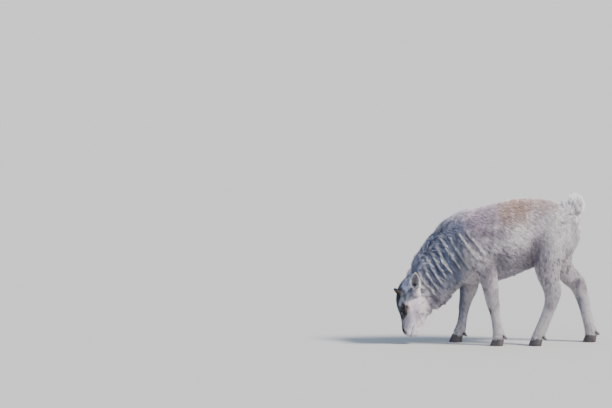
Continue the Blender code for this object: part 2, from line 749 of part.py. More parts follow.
def claw(name, foot_x, foot_y, side, collection):
    """Half of a cloven hoof: a flat teardrop sole that rises to the slanted coronet."""
    outer = CLAW_WIDTH / (1 + CLAW_INNER_WIDTH)
    middle_y = foot_y + side * (CLAW_SPLIT / 2 + outer * CLAW_INNER_WIDTH)
    rings = []
    for height, size, back in CLAW_LEVELS:
        ring = []
        for angle in np.arange(CLAW_SIDES) * 2 * math.pi / CLAW_SIDES:
            forward = math.cos(angle)
            across = math.sin(angle)
            taper = 1 - CLAW_TOE_TAPER * max(forward, 0) ** 1.6
            width = outer * (CLAW_INNER_WIDTH if across * side < 0 else 1.0) * (0.5 + size / 2)
            x = foot_x - CLAW_AHEAD + back - forward * CLAW_LENGTH / 2 * size
            ring.append((x, middle_y + across * width * taper, height))
        rings.append(ring)
    mesh = bmesh.new()
    skin_rings(mesh, rings)
    made = from_bmesh(name, mesh, collection)
    return keep_below(made, Vector((foot_x, foot_y, CORONET_HEIGHT - GAP / 2)), -CORONET_NORMAL)


def dewclaw(name, lower, foot_x, foot_y, side, bosses, flats, collection):
    """A small claw behind the foot, its boss to join to the leg, and the flat to cut it free."""
    inside = Vector((foot_x + DEWCLAW_BACK, foot_y + side * DEWCLAW_SPREAD, DEWCLAW_HEIGHT))
    way = Vector((0.66, side * 0.20, -0.50)).normalized()
    base = way_out(lower, inside, way) + way * DEWCLAW_BOSS
    boss = [base - way * 0.014, base + way * 0.002]
    tube(name + "_boss", boss, [DEWCLAW_RADIUS * 1.55, DEWCLAW_RADIUS], bosses)
    wide = DEWCLAW_RADIUS * 1.5
    tube(name + "_flat", [base, base + way * 0.03], [wide, wide * 1.3], flats)
    path = [base + way * (GAP + DEWCLAW_LENGTH * t) for t in (0, 0.45, 0.8, 1.0)]
    return tube(name, path, [DEWCLAW_RADIUS * share for share in (1.0, 0.92, 0.66, 0.25)], collection, 8)


def add_leg(name, leg, body, pieces, calf, cutters):
    """One leg in two parts with its hoof and dewclaws, cut from the body."""
    upper = copy_of(body, name + "_upper", calf)
    boolean(upper, "INTERSECT", leg.block("cut_" + name, 0.0, cutters))
    largest_only(upper)
    lower = copy_of(upper, name + "_lower", calf)
    keep_below(upper, leg.joint - leg.down * GAP / 2, leg.down)
    keep_below(lower, leg.joint + leg.down * GAP / 2, -leg.down)
    foot_y = leg.side * FOOT_Y
    keep_below(lower, Vector((leg.foot_x, foot_y, CORONET_HEIGHT + GAP / 2)), CORONET_NORMAL)
    bosses = new_collection("bosses_" + name)
    flats = new_collection("flats_" + name)
    for side, word in ((-1, "left"), (1, "right")):
        pieces["hoof"].append(claw(f"{name}_hoof_{word}", leg.foot_x, foot_y, side, calf))
        made = dewclaw(f"{name}_dewclaw_{word}", lower, leg.foot_x, foot_y, side, bosses, flats, calf)
        pieces["hoof"].append(made)
    boolean(lower, "UNION", bosses)
    boolean(lower, "DIFFERENCE", flats)
    clear(bosses)
    clear(flats)
    pieces["coat"] += [largest_only(upper), largest_only(lower)]


# Ears

# Share of the length, half width as a share of the widest, and half angle of the C-shaped section
EAR_SECTIONS = [
    (0.00, 0.66, 176),
    (0.08, 0.68, 172),
    (0.16, 0.76, 156),
    (0.26, 0.88, 130),
    (0.38, 0.98, 104),
    (0.50, 1.00, 84),
    (0.62, 0.94, 70),
    (0.74, 0.79, 60),
    (0.85, 0.57, 52),
    (0.94, 0.31, 46),
    (1.00, 0.08, 42),
]
EAR_HALF_POINTS = 6
EAR_PLUG = 0.009


def ear_way(side):
    return (side_point(EAR_TIP, side) - side_point(EAR_ROOT, side)).normalized()


def ear_mound(side, collection):
    """The thick root of an ear, to blend with the head."""
    root, way = side_point(EAR_ROOT, side), ear_way(side)
    path = [root - way * depth for depth in (0.034, 0.012, -0.008)]
    radii = [EAR_STEM * share for share in (1.55, 1.25, 1.08)]
    return tube(f"ear_mound_{side}", path, radii, collection, sides=20)


def ear(name, side, collection):
    """A leaf-shaped cup, rolled to a tube at its root and closed there by a plug."""
    along = ear_way(side)
    base = side_point(EAR_ROOT, side) + along * GAP
    facing = side_point(EAR_FACING, side)
    facing = (facing - along * facing.dot(along)).normalized()
    across = along.cross(facing)
    length = (side_point(EAR_TIP, side) - base).length
    rings = []
    for t, share, wrap in EAR_SECTIONS:
        wrap = math.radians(wrap)
        radius = EAR_WIDTH / 2 * share / math.sin(min(wrap, math.pi / 2))
        skin = EAR_SKIN * (1.3 - 0.75 * t)
        back = base + along * length * t - facing * EAR_STEM * (1 - 0.55 * t - 0.35 * t * t)
        centre = back + facing * radius
        ring = []
        for way, reach in ((1, radius), (-1, radius - skin)):
            for angle in np.linspace(wrap * way, -wrap * way, EAR_HALF_POINTS):
                ring.append(centre - facing * reach * math.cos(angle) + across * reach * math.sin(angle))
        rings.append(ring)
    mesh = bmesh.new()
    skin_rings(mesh, rings)
    cup = from_bmesh(name, mesh, collection)
    path = [base + along * EAR_PLUG * share for share in (-1.0, 1.0, 1.5)]
    radii = [EAR_STEM * share for share in (0.94, 0.94, 0.80)]
    plug = tube(name + "_plug", path, radii, collection, sides=16, flat_way=across)
    boolean(cup, "UNION", plug)
    bpy.data.objects.remove(plug)
    keep_below(cup, base, -along)
    return largest_only(cup)


# Eyes

def eye_frame(side):
    """Outward way, way from the inner to the outer corner, and way over the upper lid."""
    outward = side_point(EYE_FACING, side).normalized()
    along = Vector((0.16, 0.0, 1.0))
    along = (along - outward * along.dot(outward)).normalized()
    return outward, along, outward.cross(along) * -side


def lid_ways(side, spread):
    """Ways from the middle of the eye to the points of the almond between the lids."""
    outward, along, over = eye_frame(side)
    ways = []
    for turn in np.arange(LID_POINTS) * 2 * math.pi / LID_POINTS:
        rise = UPPER_LID_RISE if math.sin(turn) > 0 else LOWER_LID_DROP
        yaw = spread * LID_HALF_LENGTH * math.cos(turn)
        pitch = spread * rise * math.sin(turn) * abs(math.sin(turn)) ** 0.4
        level = outward * math.cos(yaw) + along * math.sin(yaw)
        ways.append(level * math.cos(pitch) + over * math.sin(pitch))
    return ways


def lids(name, side, collection):
    """The rims of both eyelids as one ring of flesh round the almond."""
    centre = side_point(EYE_CENTRE, side)
    rim = [centre + way * (EYE_RADIUS + LID_RADIUS * 0.9) for way in lid_ways(side, 1.0)]
    middle = sum(rim, Vector()) / len(rim)
    mesh = bmesh.new()
    grid = []
    for i, point in enumerate(rim):
        ahead = (rim[(i + 1) % len(rim)] - rim[i - 1]).normalized()
        out = point - middle
        out = (out - ahead * ahead.dot(out)).normalized()
        other = ahead.cross(out)
        grid.append([
            mesh.verts.new(point + (out * math.cos(angle) + other * math.sin(angle)) * LID_RADIUS)
            for angle in np.arange(LID_SIDES) * 2 * math.pi / LID_SIDES
        ])
    for i in range(len(grid)):
        start, end = grid[i - 1], grid[i]
        for k in range(LID_SIDES):
            mesh.faces.new([start[k - 1], start[k], end[k], end[k - 1]])
    bmesh.ops.recalc_face_normals(mesh, faces=mesh.faces)
    return from_bmesh(name, mesh, collection)


def eye_opening(name, side, collection):
    """What is cut away between the lids."""
    centre = side_point(EYE_CENTRE, side)
    ways = lid_ways(side, LID_OPENING)
    mesh = bmesh.new()
    skin_rings(mesh, [[centre + way * EYE_RADIUS * reach for way in ways] for reach in (0.4, 1.9)])
    return from_bmesh(name, mesh, collection)


# Antler buds

def bud_root(head, side):
    """Where an antler bud stands above the head, and its way."""
    way = side_point(BUD_WAY, side).normalized()
    return way_out(head, side_point(BUD_ROOT, side), way) + way * BUD_BOSS, way


def antler_bud(name, base, way, collection):
    path = [base + way * (GAP + BUD_LENGTH * t) for t in (0, 0.35, 0.65, 0.88, 1.0)]
    return tube(name, path, [BUD_RADIUS * share for share in (1.0, 1.06, 1.0, 0.72, 0.25)], collection, 12)


# Mouth and nostrils

def mouth_cutter(collection):
    """A thin curved sheet through the muzzle, from its end to the corner of the mouth."""
    line = [Vector((x, z)) for x, z in MOUTH_LINE]
    rings = []
    for i, point in enumerate(line):
        ahead = (line[min(i + 1, len(line) - 1)] - line[max(i - 1, 0)]).normalized()
        off = Vector((ahead.y, -ahead.x)) * MOUTH_GAP / 2
        one, other = point + off, point - off
        corners = [(one, -1), (one, 1), (other, 1), (other, -1)]
        rings.append([(corner.x, side * MOUTH_REACH, corner.y) for corner, side in corners])
    mesh = bmesh.new()
    skin_rings(mesh, rings)
    return from_bmesh("cut_mouth", mesh, collection)


def nostril(side, collection):
    made = ball(f"nostril_{side}", (0, 0, 0), 1.0, collection, 10, 6)
    made.matrix_world = (
        Matrix.Translation(side_point(NOSTRIL_CENTRE, side))
        @ Matrix.Rotation(NOSTRIL_TILT * side, 4, "X")
        @ Matrix.Rotation(NOSTRIL_SLANT, 4, "Y")
        @ Matrix.Diagonal((*NOSTRIL_SIZE, 1.0))
    )
    return evaluated(made)


# The parts of the calf

def make_head(lofts, locks, pieces, calf, cutters):
    """The head in a finer skin, with its eyes, ears and antler buds."""
    mounds = [lofts["head"], lofts["neck"]]
    for side in (-1, 1):
        mounds.append(ball(f"orbit_{side}", side_point(EYE_CENTRE, side), ORBIT_RADIUS, cutters, 32, 24))
        mounds.append(ear_mound(side, cutters))
    head = joined("head", mounds, calf)
    remeshed(head, HEAD_VOXEL, 6)
    sculpted(head, HEAD_STROKES)
    keep_below(head, HEAD_PLANE[0] - HEAD_PLANE[1] * 0.02, -HEAD_PLANE[1])
    thinned(head, HEAD_TRIANGLES)

    extras = new_collection("Joined to the head")
    for side, word in ((-1, "left"), (1, "right")):
        lids(f"lids_{word}", side, extras)
        base, way = bud_root(head, side)
        radii = [BUD_RADIUS * 1.65, BUD_RADIUS * 1.1]
        tube(f"bud_boss_{word}", [base - way * 0.016, base], radii, extras, 12)
        pieces["velvet"].append(turn_object(antler_bud(f"antler_bud_{word}", base, way, calf)))
        pieces["coat"].append(turn_object(ear(f"ear_{word}", side, calf)))
        eye = ball(f"eye_{word}", side_point(EYE_CENTRE, side), EYE_RADIUS, calf)
        pieces["eye"].append(turn_object(eye))
    boolean(head, "UNION", extras)
    boolean(head, "UNION", locks, solver="MANIFOLD")
    clear(extras)

    for side in (-1, 1):
        centre = side_point(EYE_CENTRE, side)
        root = side_point(EAR_ROOT, side)
        flat = [root, root + ear_way(side) * 0.03]
        boolean(head, "DIFFERENCE", ball(f"socket_{side}", centre, EYE_RADIUS + GAP, cutters))
        boolean(head, "DIFFERENCE", eye_opening(f"eye_opening_{side}", side, cutters))
        boolean(head, "DIFFERENCE", nostril(side, cutters))
        boolean(head, "DIFFERENCE", tube(f"ear_flat_{side}", flat, [EAR_STEM * 1.7] * 2, cutters, 20))
    boolean(head, "DIFFERENCE", mouth_cutter(cutters))
    turn_object(head)
    keep_below(head, HEAD_PLANE[0] + HEAD_PLANE[1] * GAP / 2, -HEAD_PLANE[1])
    pieces["coat"].append(largest_only(head))


def make_neck_and_torso(body, pieces, calf):
    neck = copy_of(body, "neck", calf)
    keep_below(neck, NECK_PLANE[0] + NECK_PLANE[1] * GAP / 2, -NECK_PLANE[1])
    keep_below(neck, HEAD_PLANE[0] - HEAD_PLANE[1] * GAP / 2, HEAD_PLANE[1])
    torso = copy_of(body, "torso", calf)
    keep_below(torso, NECK_PLANE[0] - NECK_PLANE[1] * GAP / 2, NECK_PLANE[1])

    # The dock joins the rump, and the tail stands on its flat end
    first = ring_points(TAIL[0].values, 18)
    up = Vector((0.0, -1.0, 0.0)).cross(Vector(first[9] - first[0])).normalized()
    dock = bmesh.new()
    skin_rings(dock, [first - np.array(up) * DOCK_DEPTH, first - np.array(up) * GAP])
    boolean(torso, "UNION", from_bmesh("dock", dock, new_collection("Dock")))
    pieces["coat"] += [largest_only(neck), largest_only(torso)]
    return Vector(first[0]), up


def make_tail(dock_end, up, pieces, calf):
    core = drawn_in(TAIL, 0.0, 0.0)
    middles = (core[:, 0:2] + core[:, 2:4]) / 2
    shares = np.array(TAIL_CORE)[:, None]
    core[:, 0:2] = middles + (core[:, 0:2] - middles) * shares
    core[:, 2:4] = middles + (core[:, 2:4] - middles) * shares
    core[:, 4] *= shares[:, 0]
    tail = loft("tail", core, calf, sides=16, steps=2)
    locks = new_collection("Locks of the tail")
    tail_locks(tail, locks)
    boolean(tail, "UNION", locks, solver="MANIFOLD")
    clear(locks)
    keep_below(tail, dock_end, -up)
    pieces["coat"].append(largest_only(tail))


def main():
    for obj in list(bpy.data.objects):
        bpy.data.objects.remove(obj)
    calf = new_collection("Reindeer calf")
    cutters = new_collection("Cutters")
    finishes = {
        "coat": material("Coat", (0.66, 0.63, 0.64), 0.85),
        "hoof": material("Hoof horn", (0.05, 0.045, 0.045), 0.45),
        "eye": material("Eye", (0.012, 0.009, 0.008), 0.08),
        "velvet": material("Antler velvet", (0.07, 0.045, 0.035), 0.9),
    }
    pieces = {finish: [] for finish in finishes}

    lofts = flesh(cutters)
    body = joined("body", lofts.values(), cutters)
    remeshed(body, BODY_VOXEL, 9)
    sculpted(body, BODY_STROKES)
    thinned(body, BODY_TRIANGLES)

    # Locks by the head are joined to it as well, so that they run on over the cut
    locks = new_collection("Locks")
    locks_by_head = new_collection("Locks by the head")
    lock_objects(tree_of(body), locks)
    for obj in locks.objects:
        middle = sum((vert.co for vert in obj.data.vertices), Vector()) / len(obj.data.vertices)
        if (middle - HEAD_PLANE[0]).dot(HEAD_PLANE[1]) > -0.035:
            locks_by_head.objects.link(obj)
    boolean(body, "UNION", locks, solver="MANIFOLD")
    turn_object(body)
    make_head(lofts, locks_by_head, pieces, calf, cutters)
    clear(locks)

    rest = copy_of(body, "torso_and_neck", cutters)
    for name, leg in LEGS.items():
        add_leg(name, leg, body, pieces, calf, cutters)
        boolean(rest, "DIFFERENCE", leg.block("gap_" + name, GAP, cutters))
    dock_end, up = make_neck_and_torso(largest_only(rest), pieces, calf)
    make_tail(dock_end, up, pieces, calf)

    for finish, objects in pieces.items():
        for obj in objects:
            obj.data.materials.clear()
            obj.data.materials.append(finishes[finish])
            obj.data.transform(Matrix.Translation((-DRAWING_MIDDLE_X, 0.0, 0.0)))
            obj.data.shade_smooth()
            obj.data.set_sharp_from_angle(angle=math.radians(50))
    for obj in list(bpy.data.objects):
        if calf not in obj.users_collection:
            bpy.data.objects.remove(obj)


main()
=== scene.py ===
"""Looks of a grazing reindeer calf, a life-size model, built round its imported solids.

Metres, +Z up. The calf looks along -X, its left side faces -Y and the floor is z = 0.
Skin and coat are made on the drawing that the rings are measured on, straight and alike on
both sides. settle() then turns the head a little and moves them to their place.
"""

import itertools
import math

import bmesh
import bpy
import numpy as np
from mathutils import Matrix, Vector
from mathutils.bvhtree import BVHTree
from mathutils.kdtree import KDTree


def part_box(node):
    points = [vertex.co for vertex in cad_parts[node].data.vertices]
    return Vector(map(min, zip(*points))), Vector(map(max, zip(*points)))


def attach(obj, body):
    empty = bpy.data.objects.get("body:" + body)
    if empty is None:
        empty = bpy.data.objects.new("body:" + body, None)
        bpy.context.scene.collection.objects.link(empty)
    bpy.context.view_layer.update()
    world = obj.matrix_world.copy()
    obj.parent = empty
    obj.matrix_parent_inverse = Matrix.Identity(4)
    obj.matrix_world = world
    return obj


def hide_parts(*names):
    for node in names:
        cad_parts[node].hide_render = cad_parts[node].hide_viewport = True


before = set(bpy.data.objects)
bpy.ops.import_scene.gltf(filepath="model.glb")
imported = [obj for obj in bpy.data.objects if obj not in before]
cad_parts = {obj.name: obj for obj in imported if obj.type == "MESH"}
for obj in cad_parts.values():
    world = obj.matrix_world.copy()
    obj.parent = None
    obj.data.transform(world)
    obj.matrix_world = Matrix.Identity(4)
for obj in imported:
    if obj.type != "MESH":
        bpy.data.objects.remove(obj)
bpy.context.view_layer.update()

# Where the middle of the calf's length lies on the drawing, and how the head turns
DRAWING_MIDDLE_X = 0.0313
HEAD_TURN = math.radians(4.0)
HEAD_PIVOT = (-0.300, 0.0)

# Fineness of the skin
BODY_VOXEL = 0.0045
HEAD_VOXEL = 0.0012
HEAD_THINNING = 0.42

# Head
EYE_RADIUS = 0.0135
EYE_CENTRE = (-0.3625, 0.0365, 0.1490)
EYE_FACING = (-0.34, 0.93, 0.06)
ORBIT_RADIUS = 0.0165
LID_RADIUS = 0.0020
LID_HALF_LENGTH = math.radians(52)
UPPER_LID_RISE = math.radians(36)
LOWER_LID_DROP = math.radians(28)
LID_OPENING = 0.84
EAR_ROOT = (-0.3165, 0.0580, 0.2430)
EAR_TIP = (-0.3225, 0.1050, 0.3110)
EAR_FACING = (-0.25, 0.86, -0.45)
EAR_WIDTH = 0.041
EAR_SKIN = 0.0022
EAR_STEM = 0.0130
BUD_ROOT = (-0.3700, 0.0240, 0.2060)
BUD_WAY = (-0.76, 0.26, 0.60)
NOSTRIL_CENTRE = (-0.3640, 0.0185, 0.0600)
NOSTRIL_SIZE = (0.0036, 0.0050, 0.0082)
NOSTRIL_TILT = math.radians(28)
NOSTRIL_SLANT = math.radians(-20)
MOUTH_GAP = 0.0022
MUZZLE_TOP = 0.11
BEHIND_HEAD = -0.25
MOUTH_LINE = [(-0.3360, 0.020), (-0.3345, 0.040), (-0.3310, 0.058), (-0.3250, 0.076), (-0.3190, 0.087)]

# Feet
CORONET_SLOPE = 0.22
CORONET_HEIGHT = 0.0270


class Ring:
    """One cross-section of a loft: its two edges in the side view, as (x, z), and its half width."""

    def __init__(self, front, rear, half_width, y=0.0, egg=0.0, square=2.0):
        self.values = np.array([*front, *rear, half_width, y, egg, square], float)


TORSO = [
    Ring((-0.205, 0.495), (-0.185, 0.330), 0.040),
    Ring((-0.160, 0.543), (-0.150, 0.272), 0.064),
    Ring((-0.113, 0.566), (-0.110, 0.256), 0.079, egg=-0.05),
    Ring((-0.059, 0.574), (-0.055, 0.256), 0.090, egg=-0.06),
    Ring((0.000, 0.589), (0.005, 0.264), 0.099, egg=-0.06),
    Ring((0.066, 0.607), (0.065, 0.280), 0.106, egg=-0.04),
    Ring((0.120, 0.614), (0.122, 0.305), 0.106),
    Ring((0.180, 0.616), (0.180, 0.328), 0.100, egg=0.05),
    Ring((0.240, 0.611), (0.238, 0.338), 0.096, egg=0.08),
    Ring((0.290, 0.597), (0.285, 0.348), 0.088, egg=0.08),
    Ring((0.330, 0.578), (0.325, 0.362), 0.074),
    Ring((0.358, 0.548), (0.352, 0.395), 0.054),
    Ring((0.374, 0.505), (0.370, 0.430), 0.026),
]
NECK = [
    Ring((-0.105, 0.555), (-0.085, 0.290), 0.070),
    Ring((-0.160, 0.540), (-0.122, 0.256), 0.071, egg=-0.05),
    Ring((-0.203, 0.503), (-0.146, 0.230), 0.069, egg=-0.05),
    Ring((-0.245, 0.452), (-0.166, 0.207), 0.064),
    Ring((-0.282, 0.402), (-0.190, 0.182), 0.060),
    Ring((-0.312, 0.358), (-0.216, 0.158), 0.057),
    Ring((-0.329, 0.312), (-0.242, 0.146), 0.053),
    Ring((-0.340, 0.275), (-0.262, 0.145), 0.047),
]
HEAD = [
    Ring((-0.318, 0.318), (-0.262, 0.262), 0.030),
    Ring((-0.345, 0.288), (-0.245, 0.205), 0.043, egg=-0.04),
    Ring((-0.372, 0.262), (-0.242, 0.172), 0.049, egg=-0.08),
    Ring((-0.387, 0.236), (-0.246, 0.150), 0.0525, egg=-0.05),
    Ring((-0.3945, 0.207), (-0.252, 0.138), 0.0535, egg=0.02),
    Ring((-0.3950, 0.178), (-0.258, 0.126), 0.0530, egg=0.10),
    Ring((-0.3900, 0.152), (-0.264, 0.113), 0.0500, egg=0.14),
    Ring((-0.3800, 0.126), (-0.271, 0.095), 0.0440, egg=0.10),
    Ring((-0.3740, 0.103), (-0.280, 0.078), 0.0385, egg=0.02, square=2.2),
    Ring((-0.3715, 0.082), (-0.289, 0.062), 0.0345, egg=-0.02, square=2.3),
    Ring((-0.3700, 0.063), (-0.294, 0.049), 0.0335, egg=0.02, square=2.4),
    Ring((-0.3650, 0.047), (-0.301, 0.038), 0.0320, egg=0.06, square=2.4),
    Ring((-0.3530, 0.036), (-0.314, 0.032), 0.0260, square=2.3),
    Ring((-0.3420, 0.0325), (-0.325, 0.0320), 0.0140),
]
FORELEG_LEFT = [
    Ring((-0.118, 0.478), (-0.005, 0.515), 0.028, -0.054),
    Ring((-0.113, 0.368), (0.015, 0.415), 0.036, -0.062),
    Ring((-0.067, 0.310), (0.025, 0.343), 0.037, -0.067),
    Ring((-0.038, 0.251), (0.032, 0.268), 0.0320, -0.070),
    Ring((-0.026, 0.200), (0.038, 0.209), 0.0285, -0.071),
    Ring((-0.018, 0.171), (0.041, 0.179), 0.0265, -0.071),
    Ring((-0.006, 0.137), (0.041, 0.146), 0.0215, -0.071),
    Ring((0.002, 0.104), (0.0445, 0.110), 0.0190, -0.071),
    Ring((0.0065, 0.072), (0.053, 0.078), 0.0205, -0.071),
    Ring((0.0090, 0.048), (0.061, 0.052), 0.0230, -0.071),
    Ring((0.0085, 0.026), (0.059, 0.024), 0.0230, -0.071),
    Ring((0.0080, 0.012), (0.052, 0.012), 0.0200, -0.071),
]
FORELEG_RIGHT = [
    Ring((-0.147, 0.451), (-0.034, 0.493), 0.028, 0.054),
    Ring((-0.146, 0.340), (-0.018, 0.380), 0.035, 0.062),
    Ring((-0.130, 0.272), (-0.034, 0.296), 0.035, 0.067),
    Ring((-0.126, 0.220), (-0.048, 0.224), 0.0310, 0.069),
    Ring((-0.1285, 0.180), (-0.068, 0.178), 0.0275, 0.070),
    Ring((-0.1305, 0.150), (-0.0785, 0.150), 0.0255, 0.070),
    Ring((-0.1325, 0.118), (-0.0870, 0.114), 0.0205, 0.070),
    Ring((-0.1370, 0.088), (-0.0920, 0.083), 0.0185, 0.070),
    Ring((-0.1450, 0.063), (-0.0960, 0.056), 0.0205, 0.070),
    Ring((-0.1530, 0.044), (-0.0990, 0.036), 0.0225, 0.070),
    Ring((-0.1590, 0.024), (-0.1060, 0.020), 0.0230, 0.070),
    Ring((-0.1600, 0.012), (-0.1140, 0.011), 0.0200, 0.070),
]
HINDLEG_LEFT = [
    Ring((0.240, 0.530), (0.345, 0.535), 0.030, -0.046),
    Ring((0.190, 0.425), (0.346, 0.440), 0.041, -0.056),
    Ring((0.182, 0.352), (0.315, 0.380), 0.041, -0.063),
    Ring((0.192, 0.298), (0.293, 0.322), 0.0360, -0.068),
    Ring((0.207, 0.260), (0.291, 0.282), 0.0305, -0.070),
    Ring((0.2200, 0.227), (0.2990, 0.246), 0.0275, -0.071),
    Ring((0.2245, 0.197), (0.2965, 0.213), 0.0270, -0.071),
    Ring((0.2210, 0.167), (0.2850, 0.177), 0.0245, -0.071),
    Ring((0.2085, 0.129), (0.2680, 0.135), 0.0210, -0.071),
    Ring((0.1935, 0.091), (0.2500, 0.093), 0.0205, -0.071),
    Ring((0.1800, 0.058), (0.2360, 0.058), 0.0230, -0.071),
    Ring((0.1710, 0.032), (0.2250, 0.028), 0.0235, -0.071),
    Ring((0.1710, 0.013), (0.2160, 0.012), 0.0200, -0.071),
]
HINDLEG_RIGHT = [
    Ring((0.250, 0.530), (0.352, 0.535), 0.030, 0.046),
    Ring((0.232, 0.410), (0.366, 0.432), 0.041, 0.056),
    Ring((0.245, 0.338), (0.351, 0.370), 0.040, 0.063),
    Ring((0.273, 0.292), (0.350, 0.336), 0.0350, 0.067),
    Ring((0.307, 0.250), (0.374, 0.308), 0.0300, 0.070),
    Ring((0.3405, 0.222), (0.4035, 0.272), 0.0275, 0.072),
    Ring((0.3585, 0.190), (0.4165, 0.215), 0.0265, 0.073),
    Ring((0.3740, 0.152), (0.4275, 0.165), 0.0240, 0.073),
    Ring((0.3860, 0.110), (0.4365, 0.118), 0.0210, 0.073),
    Ring((0.3960, 0.073), (0.4460, 0.078), 0.0205, 0.073),
    Ring((0.4020, 0.046), (0.4570, 0.049), 0.0230, 0.073),
    Ring((0.4050, 0.026), (0.4600, 0.024), 0.0235, 0.073),
    Ring((0.4050, 0.013), (0.4520, 0.012), 0.0200, 0.073),
]
FEET = {"foreleg_left": 0.0345, "foreleg_right": -0.1335, "hindleg_left": 0.1955, "hindleg_right": 0.4310}

# How deep the skin lies in the coat, in mm, at the first and at the last ring of each loft:
# in front or above, behind or below, and at the sides
COAT_DEPTH = {
    "torso": ((6, 7, 6), (6, 6, 5)),
    "neck": ((7, 11, 7), (5, 8, 6)),
    "head": ((3.5, 3.5, 3.5), (1.0, 1.0, 1.0)),
    "foreleg_left": ((6, 6, 5), (1.5, 1.5, 1.5)),
    "foreleg_right": ((6, 6, 5), (1.5, 1.5, 1.5)),
    "hindleg_left": ((6, 6, 5), (1.5, 1.5, 1.5)),
    "hindleg_right": ((6, 6, 5), (1.5, 1.5, 1.5)),
}


# Mesh helpers

def material(name):
    made = bpy.data.materials.new(name)
    made.use_nodes = True
    made.node_tree.nodes.clear()
    return made


def between(stations, steps):
    """The rings with steps - 1 more between each two, on a Catmull-Rom curve through them."""
    padded = np.vstack([2 * stations[0] - stations[1], stations, 2 * stations[-1] - stations[-2]])
    made = []
    for i in range(len(stations) - 1):
        before, start, end, after = padded[i : i + 4]
        for t in np.arange(steps) / steps:
            made.append(
                start
                + 0.5 * t * (end - before)
                + t * t * (before - 2.5 * start + 2 * end - 0.5 * after)
                + t**3 * 0.5 * (3 * start - before - 3 * end + after)
            )
    return np.array([*made, stations[-1]])


def drawn_in(rings, depths):
    """The rings drawn in from the outline of the coat to the skin."""
    made = []
    for ring, share in zip(rings, np.linspace(0, 1, len(rings))):
        front, rear, side = (np.array(depths[0]) * (1 - share) + np.array(depths[1]) * share) / 1000
        values = ring.values.copy()
        inward = (values[2:4] - values[0:2]) / np.linalg.norm(values[2:4] - values[0:2])
        values[0:2] += inward * front
        values[2:4] -= inward * rear
        values[4] -= side
        made.append(values)
    return np.array(made)


def ring_points(values, sides):
    """The points of one superellipse ring, the first at its front edge, going round by +Y."""
    front_x, front_z, rear_x, rear_z, half_width, y, egg, square = values
    angles = np.arange(sides) * 2 * math.pi / sides
    along = np.sign(np.cos(angles)) * np.abs(np.cos(angles)) ** (2 / square)
    across = np.sign(np.sin(angles)) * np.abs(np.sin(angles)) ** (2 / square)
    x = (front_x + rear_x) / 2 + (front_x - rear_x) / 2 * along
    z = (front_z + rear_z) / 2 + (front_z - rear_z) / 2 * along
    return np.column_stack([x, y + half_width * across * (1 + egg * along), z])


def skin_rings(mesh, rings_of_points):
    """Adds to a bmesh the closed tube through rings that have equally many points."""
    grid = [[mesh.verts.new(point) for point in ring] for ring in rings_of_points]
    for lower, upper in zip(grid, grid[1:]):
        for k in range(len(lower)):
            after = (k + 1) % len(lower)
            mesh.faces.new([lower[k], lower[after], upper[after], upper[k]])
    mesh.faces.new(grid[0])
    mesh.faces.new(grid[-1])
    bmesh.ops.recalc_face_normals(mesh, faces=mesh.faces)


def add_object(name, data):
    made = bpy.data.objects.new(name, data)
    bpy.context.scene.collection.objects.link(made)
    return made


def from_bmesh(name, mesh):
    data = bpy.data.meshes.new(name)
    mesh.to_mesh(data)
    mesh.free()
    return add_object(name, data)


def loft(name, stations, sides, steps):
    mesh = bmesh.new()
    skin_rings(mesh, [ring_points(values, sides) for values in between(stations, steps)])
    return from_bmesh(name, mesh)


def tube(name, centres, radii, sides=24, flat_way=(0, 1, 0)):
    """A closed tube of round rings along a path."""
    centres = [Vector(centre) for centre in centres]
    rings = []
    for i, centre in enumerate(centres):
        ahead = (centres[min(i + 1, len(centres) - 1)] - centres[max(i - 1, 0)]).normalized()
        side = (Vector(flat_way) - ahead * ahead.dot(Vector(flat_way))).normalized()
        other = ahead.cross(side)
        rings.append([
            centre + (side * math.cos(angle) + other * math.sin(angle)) * radii[i]
            for angle in np.arange(sides) * 2 * math.pi / sides
        ])
    mesh = bmesh.new()
    skin_rings(mesh, rings)
    return from_bmesh(name, mesh)


def ball(name, centre, radius, segments=48, rings=32):
    mesh = bmesh.new()
    bmesh.ops.create_uvsphere(mesh, u_segments=segments, v_segments=rings, radius=radius)
    bmesh.ops.translate(mesh, verts=mesh.verts, vec=centre)
    return from_bmesh(name, mesh)


def evaluated(obj):
    """Replaces an object's mesh by what its modifiers make of it, with its place applied."""
    bpy.context.view_layer.update()
    graph = bpy.context.evaluated_depsgraph_get()
    data = bpy.data.meshes.new_from_object(obj.evaluated_get(graph))
    data.transform(obj.matrix_world)
    obj.modifiers.clear()
    obj.matrix_world = Matrix.Identity(4)
    obj.data = data
    return obj


def joined(name, objects):
    """One object of several closed meshes, which may still cross. The single ones are removed."""
    mesh = bmesh.new()
    for obj in objects:
        mesh.from_mesh(obj.data)
        bpy.data.objects.remove(obj)
    return from_bmesh(name, mesh)


def remeshed(obj, voxel, smoothing):
    """One even skin round everything in obj, with its creases smoothed."""
    remesh = obj.modifiers.new("Skin", "REMESH")
    remesh.mode = "VOXEL"
    remesh.voxel_size = voxel
    smooth = obj.modifiers.new("Smooth", "SMOOTH")
    smooth.factor = 0.5
    smooth.iterations = smoothing
    return evaluated(obj)


def boolean(obj, operation, other):
    modifier = obj.modifiers.new("Cut", "BOOLEAN")
    modifier.operation = operation
    modifier.solver = "MANIFOLD"
    modifier.object = other
    evaluated(obj)
    bpy.data.objects.remove(other)
    return obj


